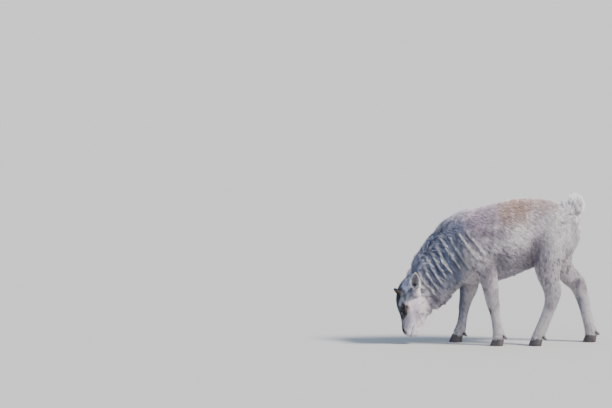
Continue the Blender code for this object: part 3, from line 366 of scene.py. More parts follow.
def keep_below(obj, point, normal):
    """Cuts obj by a plane, keeps the side away from the normal and closes the cut."""
    mesh = bmesh.new()
    mesh.from_mesh(obj.data)
    bmesh.ops.bisect_plane(
        mesh,
        geom=[*mesh.verts, *mesh.edges, *mesh.faces],
        dist=1e-6,
        plane_co=point,
        plane_no=normal,
        clear_outer=True,
    )
    rim = [edge for edge in mesh.edges if edge.is_boundary]
    bmesh.ops.holes_fill(mesh, edges=rim, sides=0)
    bmesh.ops.recalc_face_normals(mesh, faces=mesh.faces)
    mesh.to_mesh(obj.data)
    mesh.free()
    return obj


def places(data):
    co = np.empty(len(data.vertices) * 3)
    data.vertices.foreach_get("co", co)
    return co.reshape(-1, 3)


def sculpted(obj, strokes):
    """Moves the skin out or in round short paths: each stroke is (points, reach, height)."""
    data = obj.data
    co = places(data)
    normals = np.empty(len(co) * 3)
    data.vertices.foreach_get("normal", normals)
    moved = np.zeros(len(co))
    for points, reach, height in strokes:
        for side in (-1, 1):
            path = np.array(points, float) * (1, side, 1)
            moved += height * np.exp(-((far_from(co, path) / reach) ** 2))
    co += normals.reshape(-1, 3) * moved[:, None]
    data.vertices.foreach_set("co", co.ravel())
    data.update()
    return obj


def far_from(points, line):
    """How far the points are from a bent line."""
    nearest = np.full(len(points), 1e9)
    for start, end in zip(line, line[1:]):
        run = end - start
        share = np.clip(((points - start) @ run) / (run @ run), 0, 1)
        nearest = np.minimum(nearest, np.linalg.norm(points - start - share[:, None] * run, axis=1))
    return nearest


def side_point(point, side):
    """A place on the head's left (-1) or right (1) half."""
    return Vector((point[0], point[1] * side, point[2]))


def turned(points, angle=HEAD_TURN):
    """Points of the head and neck after the turn, which fades out along the neck."""
    points = np.array(points, float).reshape(-1, 3)
    share = np.clip((-0.175 - points[:, 0]) / 0.115, 0, 1)
    angle = angle * share * share * (3 - 2 * share)
    dx = points[:, 0] - HEAD_PIVOT[0]
    dy = points[:, 1] - HEAD_PIVOT[1]
    points[:, 0] = HEAD_PIVOT[0] + dx * np.cos(angle) - dy * np.sin(angle)
    points[:, 1] = HEAD_PIVOT[1] + dx * np.sin(angle) + dy * np.cos(angle)
    return points


def settle(obj):
    """Turns what belongs to the head, and moves the mesh from the drawing to its place."""
    co = turned(places(obj.data)) - (DRAWING_MIDDLE_X, 0, 0)
    obj.data.vertices.foreach_set("co", co.ravel())
    obj.data.update()
    return obj


# Skin

# Strokes that shape it, alike on both sides: points, reach and height
HEAD_STROKES = [
    # brow ridge over the eye
    (((-0.382, 0.030, 0.166), (-0.366, 0.044, 0.176), (-0.345, 0.047, 0.166)), 0.010, 0.0036),
    # ring of the orbit under the eye
    (((-0.372, 0.041, 0.126), (-0.352, 0.046, 0.126), (-0.340, 0.048, 0.142)), 0.009, 0.0024),
    # tear furrow from the inner corner of the eye
    (((-0.3600, 0.0420, 0.1330), (-0.3595, 0.0420, 0.1180), (-0.3570, 0.0400, 0.1080)), 0.0032, -0.0018),
    # fold over the upper lid and fold under the lower lid
    (((-0.3720, 0.0400, 0.1390), (-0.3745, 0.0415, 0.1500), (-0.3700, 0.0440, 0.1620)), 0.0028, -0.0012),
    (((-0.3480, 0.0500, 0.1390), (-0.3450, 0.0510, 0.1490), (-0.3490, 0.0500, 0.1600)), 0.0028, -0.0011),
    # hollow before the eye
    (((-0.366, 0.038, 0.118), (-0.357, 0.036, 0.098)), 0.008, -0.0024),
    # jaw muscle
    (((-0.300, 0.048, 0.170), (-0.285, 0.042, 0.145)), 0.022, 0.0040),
    # hollow of the cheek before the jaw muscle
    (((-0.318, 0.040, 0.128), (-0.312, 0.036, 0.100)), 0.014, -0.0035),
    # lower edge of the jaw
    (((-0.285, 0.026, 0.098), (-0.270, 0.030, 0.120)), 0.010, 0.0018),
    # hollow of the temple
    (((-0.352, 0.047, 0.196), (-0.338, 0.049, 0.212)), 0.012, -0.0035),
    # upper lip and lower lip on each side of the mouth
    (((-0.345, 0.028, 0.040), (-0.341, 0.033, 0.058), (-0.333, 0.034, 0.078)), 0.0075, 0.0024),
    (((-0.324, 0.024, 0.040), (-0.321, 0.031, 0.056), (-0.317, 0.032, 0.074)), 0.0065, 0.0020),
    # folds at the corner of the mouth
    (((-0.3170, 0.036, 0.0880), (-0.3120, 0.037, 0.0960)), 0.0030, -0.0014),
    # wing of the nostril and the hollow behind it
    (((-0.371, 0.016, 0.070), (-0.364, 0.026, 0.066), (-0.358, 0.028, 0.056)), 0.0050, 0.0022),
    (((-0.3640, 0.029, 0.0780), (-0.3560, 0.033, 0.0720)), 0.0045, -0.0013),
    # furrow between the nostrils down to the lip
    (((-0.370, 0.0, 0.058), (-0.362, 0.0, 0.044), (-0.350, 0.0, 0.034)), 0.0026, -0.0012),
    # chin
    (((-0.312, 0.0, 0.042), (-0.306, 0.0, 0.052)), 0.012, 0.0015),
]
BODY_STROKES = [
    # front edge of the shoulder blade and upper arm
    (((-0.150, 0.075, 0.430), (-0.112, 0.085, 0.352), (-0.085, 0.088, 0.325)), 0.013, -0.0050),
    (((-0.128, 0.080, 0.440), (-0.092, 0.092, 0.360)), 0.022, 0.0060),
    # creases over the shoulder, which the low head pulls
    (((-0.160, 0.070, 0.448), (-0.120, 0.082, 0.400), (-0.084, 0.088, 0.343)), 0.0060, -0.0045),
    (((-0.126, 0.074, 0.465), (-0.080, 0.088, 0.420), (-0.034, 0.096, 0.381)), 0.0060, -0.0040),
    # folds across the neck, which the coat hangs in
    (
        ((-0.268, 0.045, 0.392), (-0.240, 0.060, 0.350), (-0.208, 0.062, 0.300), (-0.180, 0.055, 0.262)),
        0.0060,
        -0.0040,
    ),
    (
        ((-0.292, 0.042, 0.360), (-0.264, 0.058, 0.318), (-0.232, 0.058, 0.270), (-0.205, 0.050, 0.232)),
        0.0060,
        -0.0040,
    ),
    (
        ((-0.235, 0.045, 0.440), (-0.208, 0.062, 0.395), (-0.176, 0.066, 0.345), (-0.150, 0.060, 0.300)),
        0.0060,
        -0.0035,
    ),
    # fold behind the elbow
    (((0.030, 0.095, 0.365), (0.045, 0.090, 0.320)), 0.016, -0.0060),
    # fold of the flank before the thigh
    (((0.175, 0.100, 0.430), (0.170, 0.096, 0.375), (0.163, 0.090, 0.345)), 0.017, -0.0070),
    # hollow between hip and ribs
    (((0.190, 0.095, 0.520), (0.215, 0.092, 0.535)), 0.030, -0.0050),
    # thigh muscle and the furrow behind it
    (((0.245, 0.100, 0.455), (0.235, 0.104, 0.400)), 0.035, 0.0060),
    (((0.310, 0.090, 0.500), (0.312, 0.095, 0.430), (0.300, 0.090, 0.375)), 0.012, -0.0025),
]

# The skin is made in two finenesses, which meet under the coat behind the head
HEAD_PLANE = Vector((-0.2800, 0.0, 0.228))
HEAD_PLANE_WAY = Vector((-0.800, 0.0, -0.600))
SKIN_OVERLAP = 0.020

# The bone and flesh of the tail
TAIL = [
    Ring((0.3300, 0.5450), (0.3640, 0.5280), 0.0120),
    Ring((0.3380, 0.5700), (0.3740, 0.5510), 0.0130),
    Ring((0.3370, 0.5860), (0.3760, 0.5730), 0.0145),
    Ring((0.3400, 0.6010), (0.3760, 0.5930), 0.0145),
    Ring((0.3460, 0.6110), (0.3720, 0.6070), 0.0110),
    Ring((0.3530, 0.6150), (0.3650, 0.6140), 0.0050),
]


def body_loft(name, rings, sides=40, steps=5):
    return loft(name, drawn_in(rings, COAT_DEPTH[name]), sides, steps)


def leg_loft(name, rings):
    """A leg down to just under the top of its hoof."""
    made = body_loft(name, rings)
    foot_y = rings[-1].values[5]
    top = Vector((FEET[name], foot_y, CORONET_HEIGHT - 0.003))
    return keep_below(made, top, Vector((CORONET_SLOPE, 0.0, -1.0)).normalized())


def body_skin():
    lofts = [
        body_loft("torso", TORSO),
        body_loft("neck", NECK),
        loft("tail", np.array([ring.values for ring in TAIL]), 24, 4),
        leg_loft("foreleg_left", FORELEG_LEFT),
        leg_loft("foreleg_right", FORELEG_RIGHT),
        leg_loft("hindleg_left", HINDLEG_LEFT),
        leg_loft("hindleg_right", HINDLEG_RIGHT),
    ]
    made = joined("body", lofts)
    remeshed(made, BODY_VOXEL, 8)
    sculpted(made, BODY_STROKES)
    return keep_below(made, HEAD_PLANE + HEAD_PLANE_WAY * SKIN_OVERLAP, HEAD_PLANE_WAY)


def ear_way(side):
    return (side_point(EAR_TIP, side) - side_point(EAR_ROOT, side)).normalized()


def eye_frame(side):
    """Outward way, way from the inner to the outer corner, and way over the upper lid."""
    outward = side_point(EYE_FACING, side).normalized()
    along = Vector((0.16, 0.0, 1.0))
    along = (along - outward * along.dot(outward)).normalized()
    return outward, along, outward.cross(along) * -side


def lid_ways(side, spread, count=48):
    """Ways from the middle of the eye to the points of the almond between the lids."""
    outward, along, over = eye_frame(side)
    ways = []
    for turn in np.arange(count) * 2 * math.pi / count:
        rise = UPPER_LID_RISE if math.sin(turn) > 0 else LOWER_LID_DROP
        yaw = spread * LID_HALF_LENGTH * math.cos(turn)
        pitch = spread * rise * math.sin(turn) * abs(math.sin(turn)) ** 0.4
        level = outward * math.cos(yaw) + along * math.sin(yaw)
        ways.append(level * math.cos(pitch) + over * math.sin(pitch))
    return ways


def lids(side):
    """The rims of both eyelids as one ring of flesh round the almond."""
    centre = side_point(EYE_CENTRE, side)
    rim = [centre + way * (EYE_RADIUS + LID_RADIUS * 0.9) for way in lid_ways(side, 1.0)]
    middle = sum(rim, Vector()) / len(rim)
    mesh = bmesh.new()
    grid = []
    for i, point in enumerate(rim):
        ahead = (rim[(i + 1) % len(rim)] - rim[i - 1]).normalized()
        out = point - middle
        out = (out - ahead * ahead.dot(out)).normalized()
        other = ahead.cross(out)
        grid.append([
            mesh.verts.new(point + (out * math.cos(angle) + other * math.sin(angle)) * LID_RADIUS)
            for angle in np.arange(10) * 2 * math.pi / 10
        ])
    for i in range(len(grid)):
        start, end = grid[i - 1], grid[i]
        for k in range(10):
            mesh.faces.new([start[k - 1], start[k], end[k], end[k - 1]])
    bmesh.ops.recalc_face_normals(mesh, faces=mesh.faces)
    return from_bmesh(f"lids_{side}", mesh)


def eye_opening(side):
    """What is cut away between the lids."""
    centre = side_point(EYE_CENTRE, side)
    ways = lid_ways(side, LID_OPENING)
    mesh = bmesh.new()
    skin_rings(mesh, [[centre + way * EYE_RADIUS * reach for way in ways] for reach in (0.4, 1.9)])
    return from_bmesh(f"eye_opening_{side}", mesh)


def nostril(side):
    made = ball(f"nostril_{side}", (0, 0, 0), 1.0, 24, 16)
    made.matrix_world = (
        Matrix.Translation(side_point(NOSTRIL_CENTRE, side))
        @ Matrix.Rotation(NOSTRIL_TILT * side, 4, "X")
        @ Matrix.Rotation(NOSTRIL_SLANT, 4, "Y")
        @ Matrix.Diagonal((*NOSTRIL_SIZE, 1.0))
    )
    return evaluated(made)


def mouth_slit():
    """A thin curved sheet through the muzzle, from its end to the corner of the mouth."""
    line = [Vector((x, z)) for x, z in MOUTH_LINE]
    rings = []
    for i, point in enumerate(line):
        ahead = (line[min(i + 1, len(line) - 1)] - line[max(i - 1, 0)]).normalized()
        off = Vector((ahead.y, -ahead.x)) * MOUTH_GAP / 2
        one, other = point + off, point - off
        corners = [(one, -1), (one, 1), (other, 1), (other, -1)]
        rings.append([(corner.x, side * 0.06, corner.y) for corner, side in corners])
    mesh = bmesh.new()
    skin_rings(mesh, rings)
    return from_bmesh("mouth_slit", mesh)


def head_skin():
    """The head with the eyelids, nostrils and mouth cut in it, and the rear of it for the neck."""
    parts = [body_loft("head", HEAD, 56, 8), body_loft("neck", NECK, 48, 8)]
    for side in (-1, 1):
        parts.append(ball(f"orbit_{side}", side_point(EYE_CENTRE, side), ORBIT_RADIUS))
        root, way = side_point(EAR_ROOT, side), ear_way(side)
        path = [root - way * depth for depth in (0.034, 0.012, -0.006)]
        parts.append(tube(f"ear_mound_{side}", path, [0.0190, 0.0150, 0.0120]))
        bud_way = side_point(BUD_WAY, side).normalized()
        root = side_point(BUD_ROOT, side)
        path = [root, root + bud_way * 0.020]
        parts.append(tube(f"bud_boss_{side}", path, [0.0135, 0.0075]))
        parts.append(lids(side))
    made = joined("head", parts)
    remeshed(made, HEAD_VOXEL, 4)
    keep_below(made, HEAD_PLANE - HEAD_PLANE_WAY * SKIN_OVERLAP, -HEAD_PLANE_WAY)
    sculpted(made, HEAD_STROKES)
    for side in (-1, 1):
        boolean(made, "DIFFERENCE", ball("socket", side_point(EYE_CENTRE, side), EYE_RADIUS + 0.0003))
        boolean(made, "DIFFERENCE", eye_opening(side))
        boolean(made, "DIFFERENCE", nostril(side))
    boolean(made, "DIFFERENCE", mouth_slit())
    remeshed(made, HEAD_VOXEL, 3)
    thin = made.modifiers.new("Thin", "DECIMATE")
    thin.ratio = HEAD_THINNING
    return evaluated(made)


# Share of an ear's length, half width as a share of the widest, half angle of its C-shaped section
EAR_SECTIONS = [
    (0.00, 0.66, 176),
    (0.08, 0.68, 172),
    (0.16, 0.76, 156),
    (0.26, 0.88, 130),
    (0.38, 0.98, 104),
    (0.50, 1.00, 84),
    (0.62, 0.94, 70),
    (0.74, 0.79, 60),
    (0.85, 0.57, 52),
    (0.94, 0.31, 46),
    (1.00, 0.08, 42),
]


def ear(side):
    """A leaf-shaped cup that is rolled to a tube at its root."""
    along = ear_way(side)
    base = side_point(EAR_ROOT, side) - along * 0.004
    facing = side_point(EAR_FACING, side)
    facing = (facing - along * facing.dot(along)).normalized()
    across = along.cross(facing)
    length = (side_point(EAR_TIP, side) - base).length
    shares, widths, wraps = np.array(EAR_SECTIONS).T
    rings = []
    for t in np.linspace(0, 1, 34):
        share = np.interp(t, shares, widths)
        wrap = math.radians(np.interp(t, shares, wraps))
        radius = EAR_WIDTH / 2 * share / math.sin(min(wrap, math.pi / 2))
        skin = EAR_SKIN * (1.3 - 0.75 * t)
        back = base + along * length * t - facing * EAR_STEM * (1 - 0.55 * t - 0.35 * t * t)
        centre = back + facing * radius
        ring = []
        for way, reach in ((1, radius), (-1, radius - skin)):
            for angle in np.linspace(wrap * way, -wrap * way, 18):
                ring.append(centre - facing * reach * math.cos(angle) + across * reach * math.sin(angle))
        rings.append(ring)
    mesh = bmesh.new()
    skin_rings(mesh, rings)
    return from_bmesh(f"ear_{side}", mesh)


def whole_skin():
    """The skin in one object, and the numbers of its faces that belong to body, head and ears."""
    parts = [body_skin(), head_skin(), ear(-1), ear(1)]
    counts = np.cumsum([0] + [len(part.data.polygons) for part in parts])
    made = joined("skin", parts)
    return made, dict(zip(("body", "head", "ear_left", "ear_right"), zip(counts[:-1], counts[1:])))


# Markings

def linear(hex_colour):
    """The linear colour of an sRGB hex value."""
    parts = np.array([int(hex_colour[i : i + 2], 16) / 255 for i in (1, 3, 5)])
    return np.where(parts <= 0.04045, parts / 12.92, ((parts + 0.055) / 1.055) ** 2.4)


# Colours of coat and skin
WHITE = "#F6F1F0"
CREAM = "#ECE4E6"
PEARL = "#CFC3CF"
LILAC = "#A797A8"
TAN = "#B79B8C"
RUST = "#94786C"
# SLATE_AND_SHADE is the coat's blue-grey with painted shade in it, used on the neck, the forehead and the
# far legs
SLATE_AND_SHADE = "#596B8E"
# DUSK_SHADE is painted deep shade, partly the darker fur of the face front
DUSK_SHADE = "#39435A"
SMOKE = "#6A5C6E"
UMBER = "#332A2B"
BLACK = "#151213"
ROSE = "#EAD6D4"

# Colour, strength, middle, reach along x, y and z, and the side it is on: 0 both, -1 left, 1 right
MARKS = [
    # back and ribs
    (PEARL, 0.55, (0.020, 0.05, 0.480), (0.200, 0.12, 0.110), 0),
    (LILAC, 0.70, (-0.010, 0.05, 0.550), (0.140, 0.11, 0.062), 0),
    (LILAC, 0.50, (0.170, 0.05, 0.580), (0.110, 0.10, 0.050), 0),
    (TAN, 0.85, (0.092, 0.04, 0.560), (0.078, 0.10, 0.070), 0),
    (TAN, 0.45, (0.200, 0.04, 0.590), (0.090, 0.09, 0.036), 0),
    (LILAC, 0.80, (-0.085, 0.07, 0.490), (0.095, 0.09, 0.070), 0),
    # painted shade along the flank under the edge of the back
    (SMOKE, 0.45, (0.030, 0.09, 0.475), (0.075, 0.06, 0.022), 0),
    (SMOKE, 0.55, (0.085, 0.08, 0.355), (0.140, 0.09, 0.058), 0),
    (SMOKE, 0.55, (0.178, 0.10, 0.395), (0.045, 0.05, 0.065), 0),
    (LILAC, 0.40, (0.215, 0.10, 0.420), (0.045, 0.05, 0.080), 0),
    (WHITE, 0.75, (0.105, 0.10, 0.470), (0.045, 0.05, 0.055), 0),
    (WHITE, 0.70, (0.300, 0.07, 0.470), (0.070, 0.09, 0.120), 0),
    (PEARL, 0.75, (0.090, 0.03, 0.300), (0.110, 0.05, 0.026), 0),
    # tail
    (WHITE, 0.95, (0.356, 0.00, 0.590), (0.050, 0.05, 0.045), 0),
    # neck: the coat's own slate grey, darkened with painted shade where the neck is turned from the light
    (SLATE_AND_SHADE, 0.75, (-0.190, 0.04, 0.450), (0.085, 0.10, 0.110), 0),
    (SLATE_AND_SHADE, 0.85, (-0.245, 0.04, 0.350), (0.075, 0.10, 0.120), 0),
    (SLATE_AND_SHADE, 0.70, (-0.165, 0.06, 0.340), (0.060, 0.08, 0.090), 0),
    (SLATE_AND_SHADE, 0.70, (-0.305, 0.00, 0.330), (0.050, 0.06, 0.070), 0),
    (PEARL, 0.75, (-0.215, 0.03, 0.185), (0.080, 0.05, 0.045), 0),
    # head
    # painted shade over the forehead and down the front of the face from brow to nose, partly dark fur
    # there
    (SLATE_AND_SHADE, 0.85, (-0.385, 0.00, 0.225), (0.052, 0.042, 0.070), 0),
    (DUSK_SHADE, 0.88, (-0.400, 0.00, 0.215), (0.030, 0.090, 0.070), 0),
    (DUSK_SHADE, 0.94, (-0.396, 0.00, 0.150), (0.036, 0.100, 0.060), 0),
    (DUSK_SHADE, 0.95, (-0.384, 0.00, 0.092), (0.027, 0.100, 0.050), 0),
    # painted shade on the forehead between the antler bud and the ear
    (SLATE_AND_SHADE, 0.90, (-0.358, 0.04, 0.250), (0.044, 0.04, 0.044), 0),
    (LILAC, 0.45, (-0.338, 0.05, 0.145), (0.030, 0.03, 0.045), 0),
    (PEARL, 0.80, (-0.325, 0.04, 0.100), (0.036, 0.03, 0.060), 0),
    # painted shadow where the jaw meets the neck
    (SMOKE, 0.75, (-0.245, 0.050, 0.204), (0.020, 0.03, 0.024), 0),
    # dark skin round the eye and along the tear duct; the first patch is widened by painted shadow under
    # the brow
    (UMBER, 0.97, (-0.3640, 0.042, 0.1500), (0.0180, 0.03, 0.0250), 0),
    (UMBER, 0.90, (-0.3660, 0.038, 0.1220), (0.0090, 0.02, 0.0160), 0),
    (UMBER, 0.92, (-0.3800, 0.026, 0.2120), (0.0190, 0.017, 0.0170), 0),
    (UMBER, 0.90, (-0.3690, 0.012, 0.0570), (0.0165, 0.024, 0.0230), 0),
    # legs
    (LILAC, 0.55, (-0.025, 0.08, 0.290), (0.026, 0.06, 0.075), 0),
    # painted shade down the front of the far (right) foreleg
    (SLATE_AND_SHADE, 0.80, (-0.130, 0.07, 0.190), (0.034, 0.06, 0.130), 1),
    (UMBER, 0.85, (-0.010, -0.075, 0.148), (0.018, 0.03, 0.016), -1),
    (SMOKE, 0.45, (0.002, -0.075, 0.110), (0.010, 0.03, 0.050), -1),
    (SMOKE, 0.50, (0.245, -0.085, 0.170), (0.014, 0.03, 0.022), -1),
    (LILAC, 0.45, (0.235, -0.085, 0.290), (0.020, 0.05, 0.060), -1),
    (SMOKE, 0.75, (0.372, 0.075, 0.255), (0.022, 0.04, 0.022), 1),
    (RUST, 0.60, (0.398, 0.075, 0.228), (0.014, 0.04, 0.020), 1),
    # painted shade down the front of the far (right) hind leg
    (SLATE_AND_SHADE, 0.65, (0.376, 0.07, 0.120), (0.016, 0.04, 0.110), 1),
    # dark dots on the rump
    (UMBER, 0.80, (0.2960, 0.08, 0.5270), (0.0080, 0.03, 0.0034), 0),
    (UMBER, 0.70, (0.2310, 0.10, 0.4660), (0.0045, 0.03, 0.0045), 0),
]

# A mark fades out between these shares of its reach, and its edge strays by so much
MARK_EDGE = (1.45, 0.45)
MARK_STRAY = 1.5

# Painted highlights along the ridges of the neck's and shoulder's folds: x and z of their ends, half width
LIT_RIDGES = [
    ((-0.269, 0.404), (-0.194, 0.300), 0.0038),
    ((-0.286, 0.376), (-0.212, 0.272), 0.0038),
    ((-0.300, 0.346), (-0.230, 0.245), 0.0038),
    ((-0.310, 0.312), (-0.250, 0.226), 0.0034),
    ((-0.250, 0.432), (-0.178, 0.330), 0.0034),
    ((-0.222, 0.458), (-0.140, 0.345), 0.0034),
    ((-0.178, 0.456), (-0.090, 0.336), 0.0042),
    ((-0.140, 0.480), (-0.060, 0.378), 0.0038),
    ((-0.104, 0.488), (-0.030, 0.396), 0.0038),
]
# The painted shade of a furrow lies this far before its ridge, and is this much wider
SHADED_FURROW_AHEAD = 0.0095
SHADED_FURROW_WIDTH = 1.9


def mottle(points, size, seed):
    """Smooth random values from 0 to 1 at the points. The size may differ along x, y and z."""
    cell = points / np.array(size)
    low = np.floor(cell).astype(np.int64)
    part = cell - low
    part = part * part * (3 - 2 * part)
    total = np.zeros(len(points))
    for corner in itertools.product((0, 1), repeat=3):
        at = low + corner
        mixed = (at[:, 0] * 73856093) ^ (at[:, 1] * 19349663) ^ (at[:, 2] * 83492791) ^ (seed * 2654435761)
        mixed = (mixed ^ (mixed >> 13)) * 1274126177
        value = ((mixed ^ (mixed >> 16)) & 0xFFFF) / 0xFFFF
        total += value * np.prod(np.where(corner, part, 1 - part), axis=1)
    return total


def rising(values, start, end):
    """0 at start and before it, 1 at end and beyond it. The end may be the lower of the two."""
    return np.clip((values - start) / (end - start), 0, 1)


def tinted(colour, hex_colour, share):
    share = np.clip(share, 0, 1)[:, None]
    return colour * (1 - share) + linear(hex_colour) * share


def coat_colour(points):
    """The linear colour of the coat at places on the drawing, with painted shade on neck, face and far
    legs and painted highlights on the neck's folds.
    """
    x, y, z = points.T
    fine = mottle(points, (0.006, 0.006, 0.010), 1)
    broad = mottle(points, (0.028, 0.028, 0.034), 2)
    upright = mottle(points, (0.007, 0.030, 0.034), 6)
    ragged = 0.4 * fine + 0.3 * upright + 0.3 * mottle(points, (0.016, 0.016, 0.024), 3)
    colour = linear(CREAM) + np.zeros((len(points), 1))
    colour = tinted(colour, PEARL, (0.5 * fine + 0.5 * broad - 0.42) * 2.4 * 0.5)
    both = points * (1, 0, 1) + np.abs(points) * (0, 1, 0)
    for hex_colour, strength, middle, reach, side in MARKS:
        place = points if side else both
        apart = np.linalg.norm((place - middle) / reach, axis=1) + (ragged - 0.5) * MARK_STRAY
        share = rising(apart, *MARK_EDGE)
        colour = tinted(colour, hex_colour, share * share * (3 - 2 * share) * strength)
    # darker hair roots show through in flecks low on the flank, on the back and on the legs
    flecks = mottle(points, (0.0055, 0.0055, 0.0085), 4)
    low = rising(z, 0.46, 0.40) * rising(x, -0.12, -0.07) * np.maximum(rising(z, 0.10, 0.30), 0.45)
    back = rising(z, 0.44, 0.49) * rising(x, 0.28, 0.20) * rising(x, -0.16, -0.11)
    colour = tinted(colour, SMOKE, rising(flecks, 0.60, 0.80) * (low * 0.80 + back * 0.45))
    # upright brown and pale streaks over the ribs and back
    ribs = np.exp(-(((x - 0.10) / 0.09) ** 2) - ((z - 0.53) / 0.07) ** 2)
    colour = tinted(colour, RUST, rising(upright, 0.60, 0.85) * ribs * 0.55)
    pale = mottle(points, (0.0065, 0.050, 0.055), 5)
    colour = tinted(colour, WHITE, rising(pale, 0.58, 0.78) * np.clip(ribs * 1.4, 0, 1) * 0.65)
    # dark flecks of painted shade over the neck
    shaded_mane = rising(x, -0.11, -0.16) * rising(x, -0.33, -0.30)
    colour = tinted(colour, DUSK_SHADE, rising(flecks, 0.52, 0.72) * shaded_mane * 0.55)
    # painted highlights on the edges of the folds and painted shade in the furrows before them
    flat = points[:, (0, 2)]
    sides = rising(np.abs(y), 0.018, 0.038)
    for start, end, width in LIT_RIDGES:
        line = np.array([start, end])
        run = (line[1] - line[0]) / np.linalg.norm(line[1] - line[0])
        ahead = np.array([run[1], -run[0]]) * SHADED_FURROW_AHEAD
        furrow = np.exp(-((far_from(flat, line + ahead) / width / SHADED_FURROW_WIDTH) ** 2))
        colour = tinted(colour, DUSK_SHADE, furrow * sides * 0.60 * (0.3 + 1.2 * fine))
        ridge = np.exp(-((far_from(flat, line) / width) ** 2))
        colour = tinted(colour, WHITE, ridge * sides * 1.0 * (0.35 + 1.2 * broad))
    on_ear = far_from(both, np.array([EAR_ROOT, EAR_TIP])) < 0.036
    colour = tinted(colour, WHITE, np.where(on_ear, (both[:, 1] - 0.058) / 0.012, 0) * 0.85)
    return np.clip(colour, 0, 1)


def skin_colour(points):
    """What shows between the hairs, and on the bare lids, lips and nostrils."""
    colour = coat_colour(points) * 0.66
    both = points * (1, 0, 1) + np.abs(points) * (0, 1, 0)
    on_ear = far_from(both, np.array([EAR_ROOT, EAR_TIP])) < 0.030
    colour = tinted(colour, ROSE, np.where(on_ear, (both[:, 1] - 0.062) / 0.010, 0))
    for centre, reach in ((EYE_CENTRE, EYE_BARE + 0.004), (NOSTRIL_CENTRE, NOSTRIL_BARE + 0.002)):
        apart = np.linalg.norm(both - centre, axis=1)
        colour = tinted(colour, BLACK, (reach - apart) / 0.003)
    lips = far_from(points[:, (0, 2)], np.array(MOUTH_LINE))
    on_muzzle = points[:, 2] < MUZZLE_TOP
    return tinted(colour, SMOKE, np.where(on_muzzle, (0.0026 - lips) / 0.0012, 0))


def colour_points(data, colours):
    layer = data.color_attributes.new("marking", "FLOAT_COLOR", "POINT")
    layer.data.foreach_set("color", np.column_stack([colours, np.ones(len(colours))]).ravel())


# Coat

class Lie:
    """How the coat grows at one place: its way, the length of the tufts and how high their tips
    stand over the skin, both in mm, and how free of the skin they hang."""

    def __init__(self, place, way, length, rise, free=0.0):
        self.values = np.array([*place, *way, length, rise, free], float)


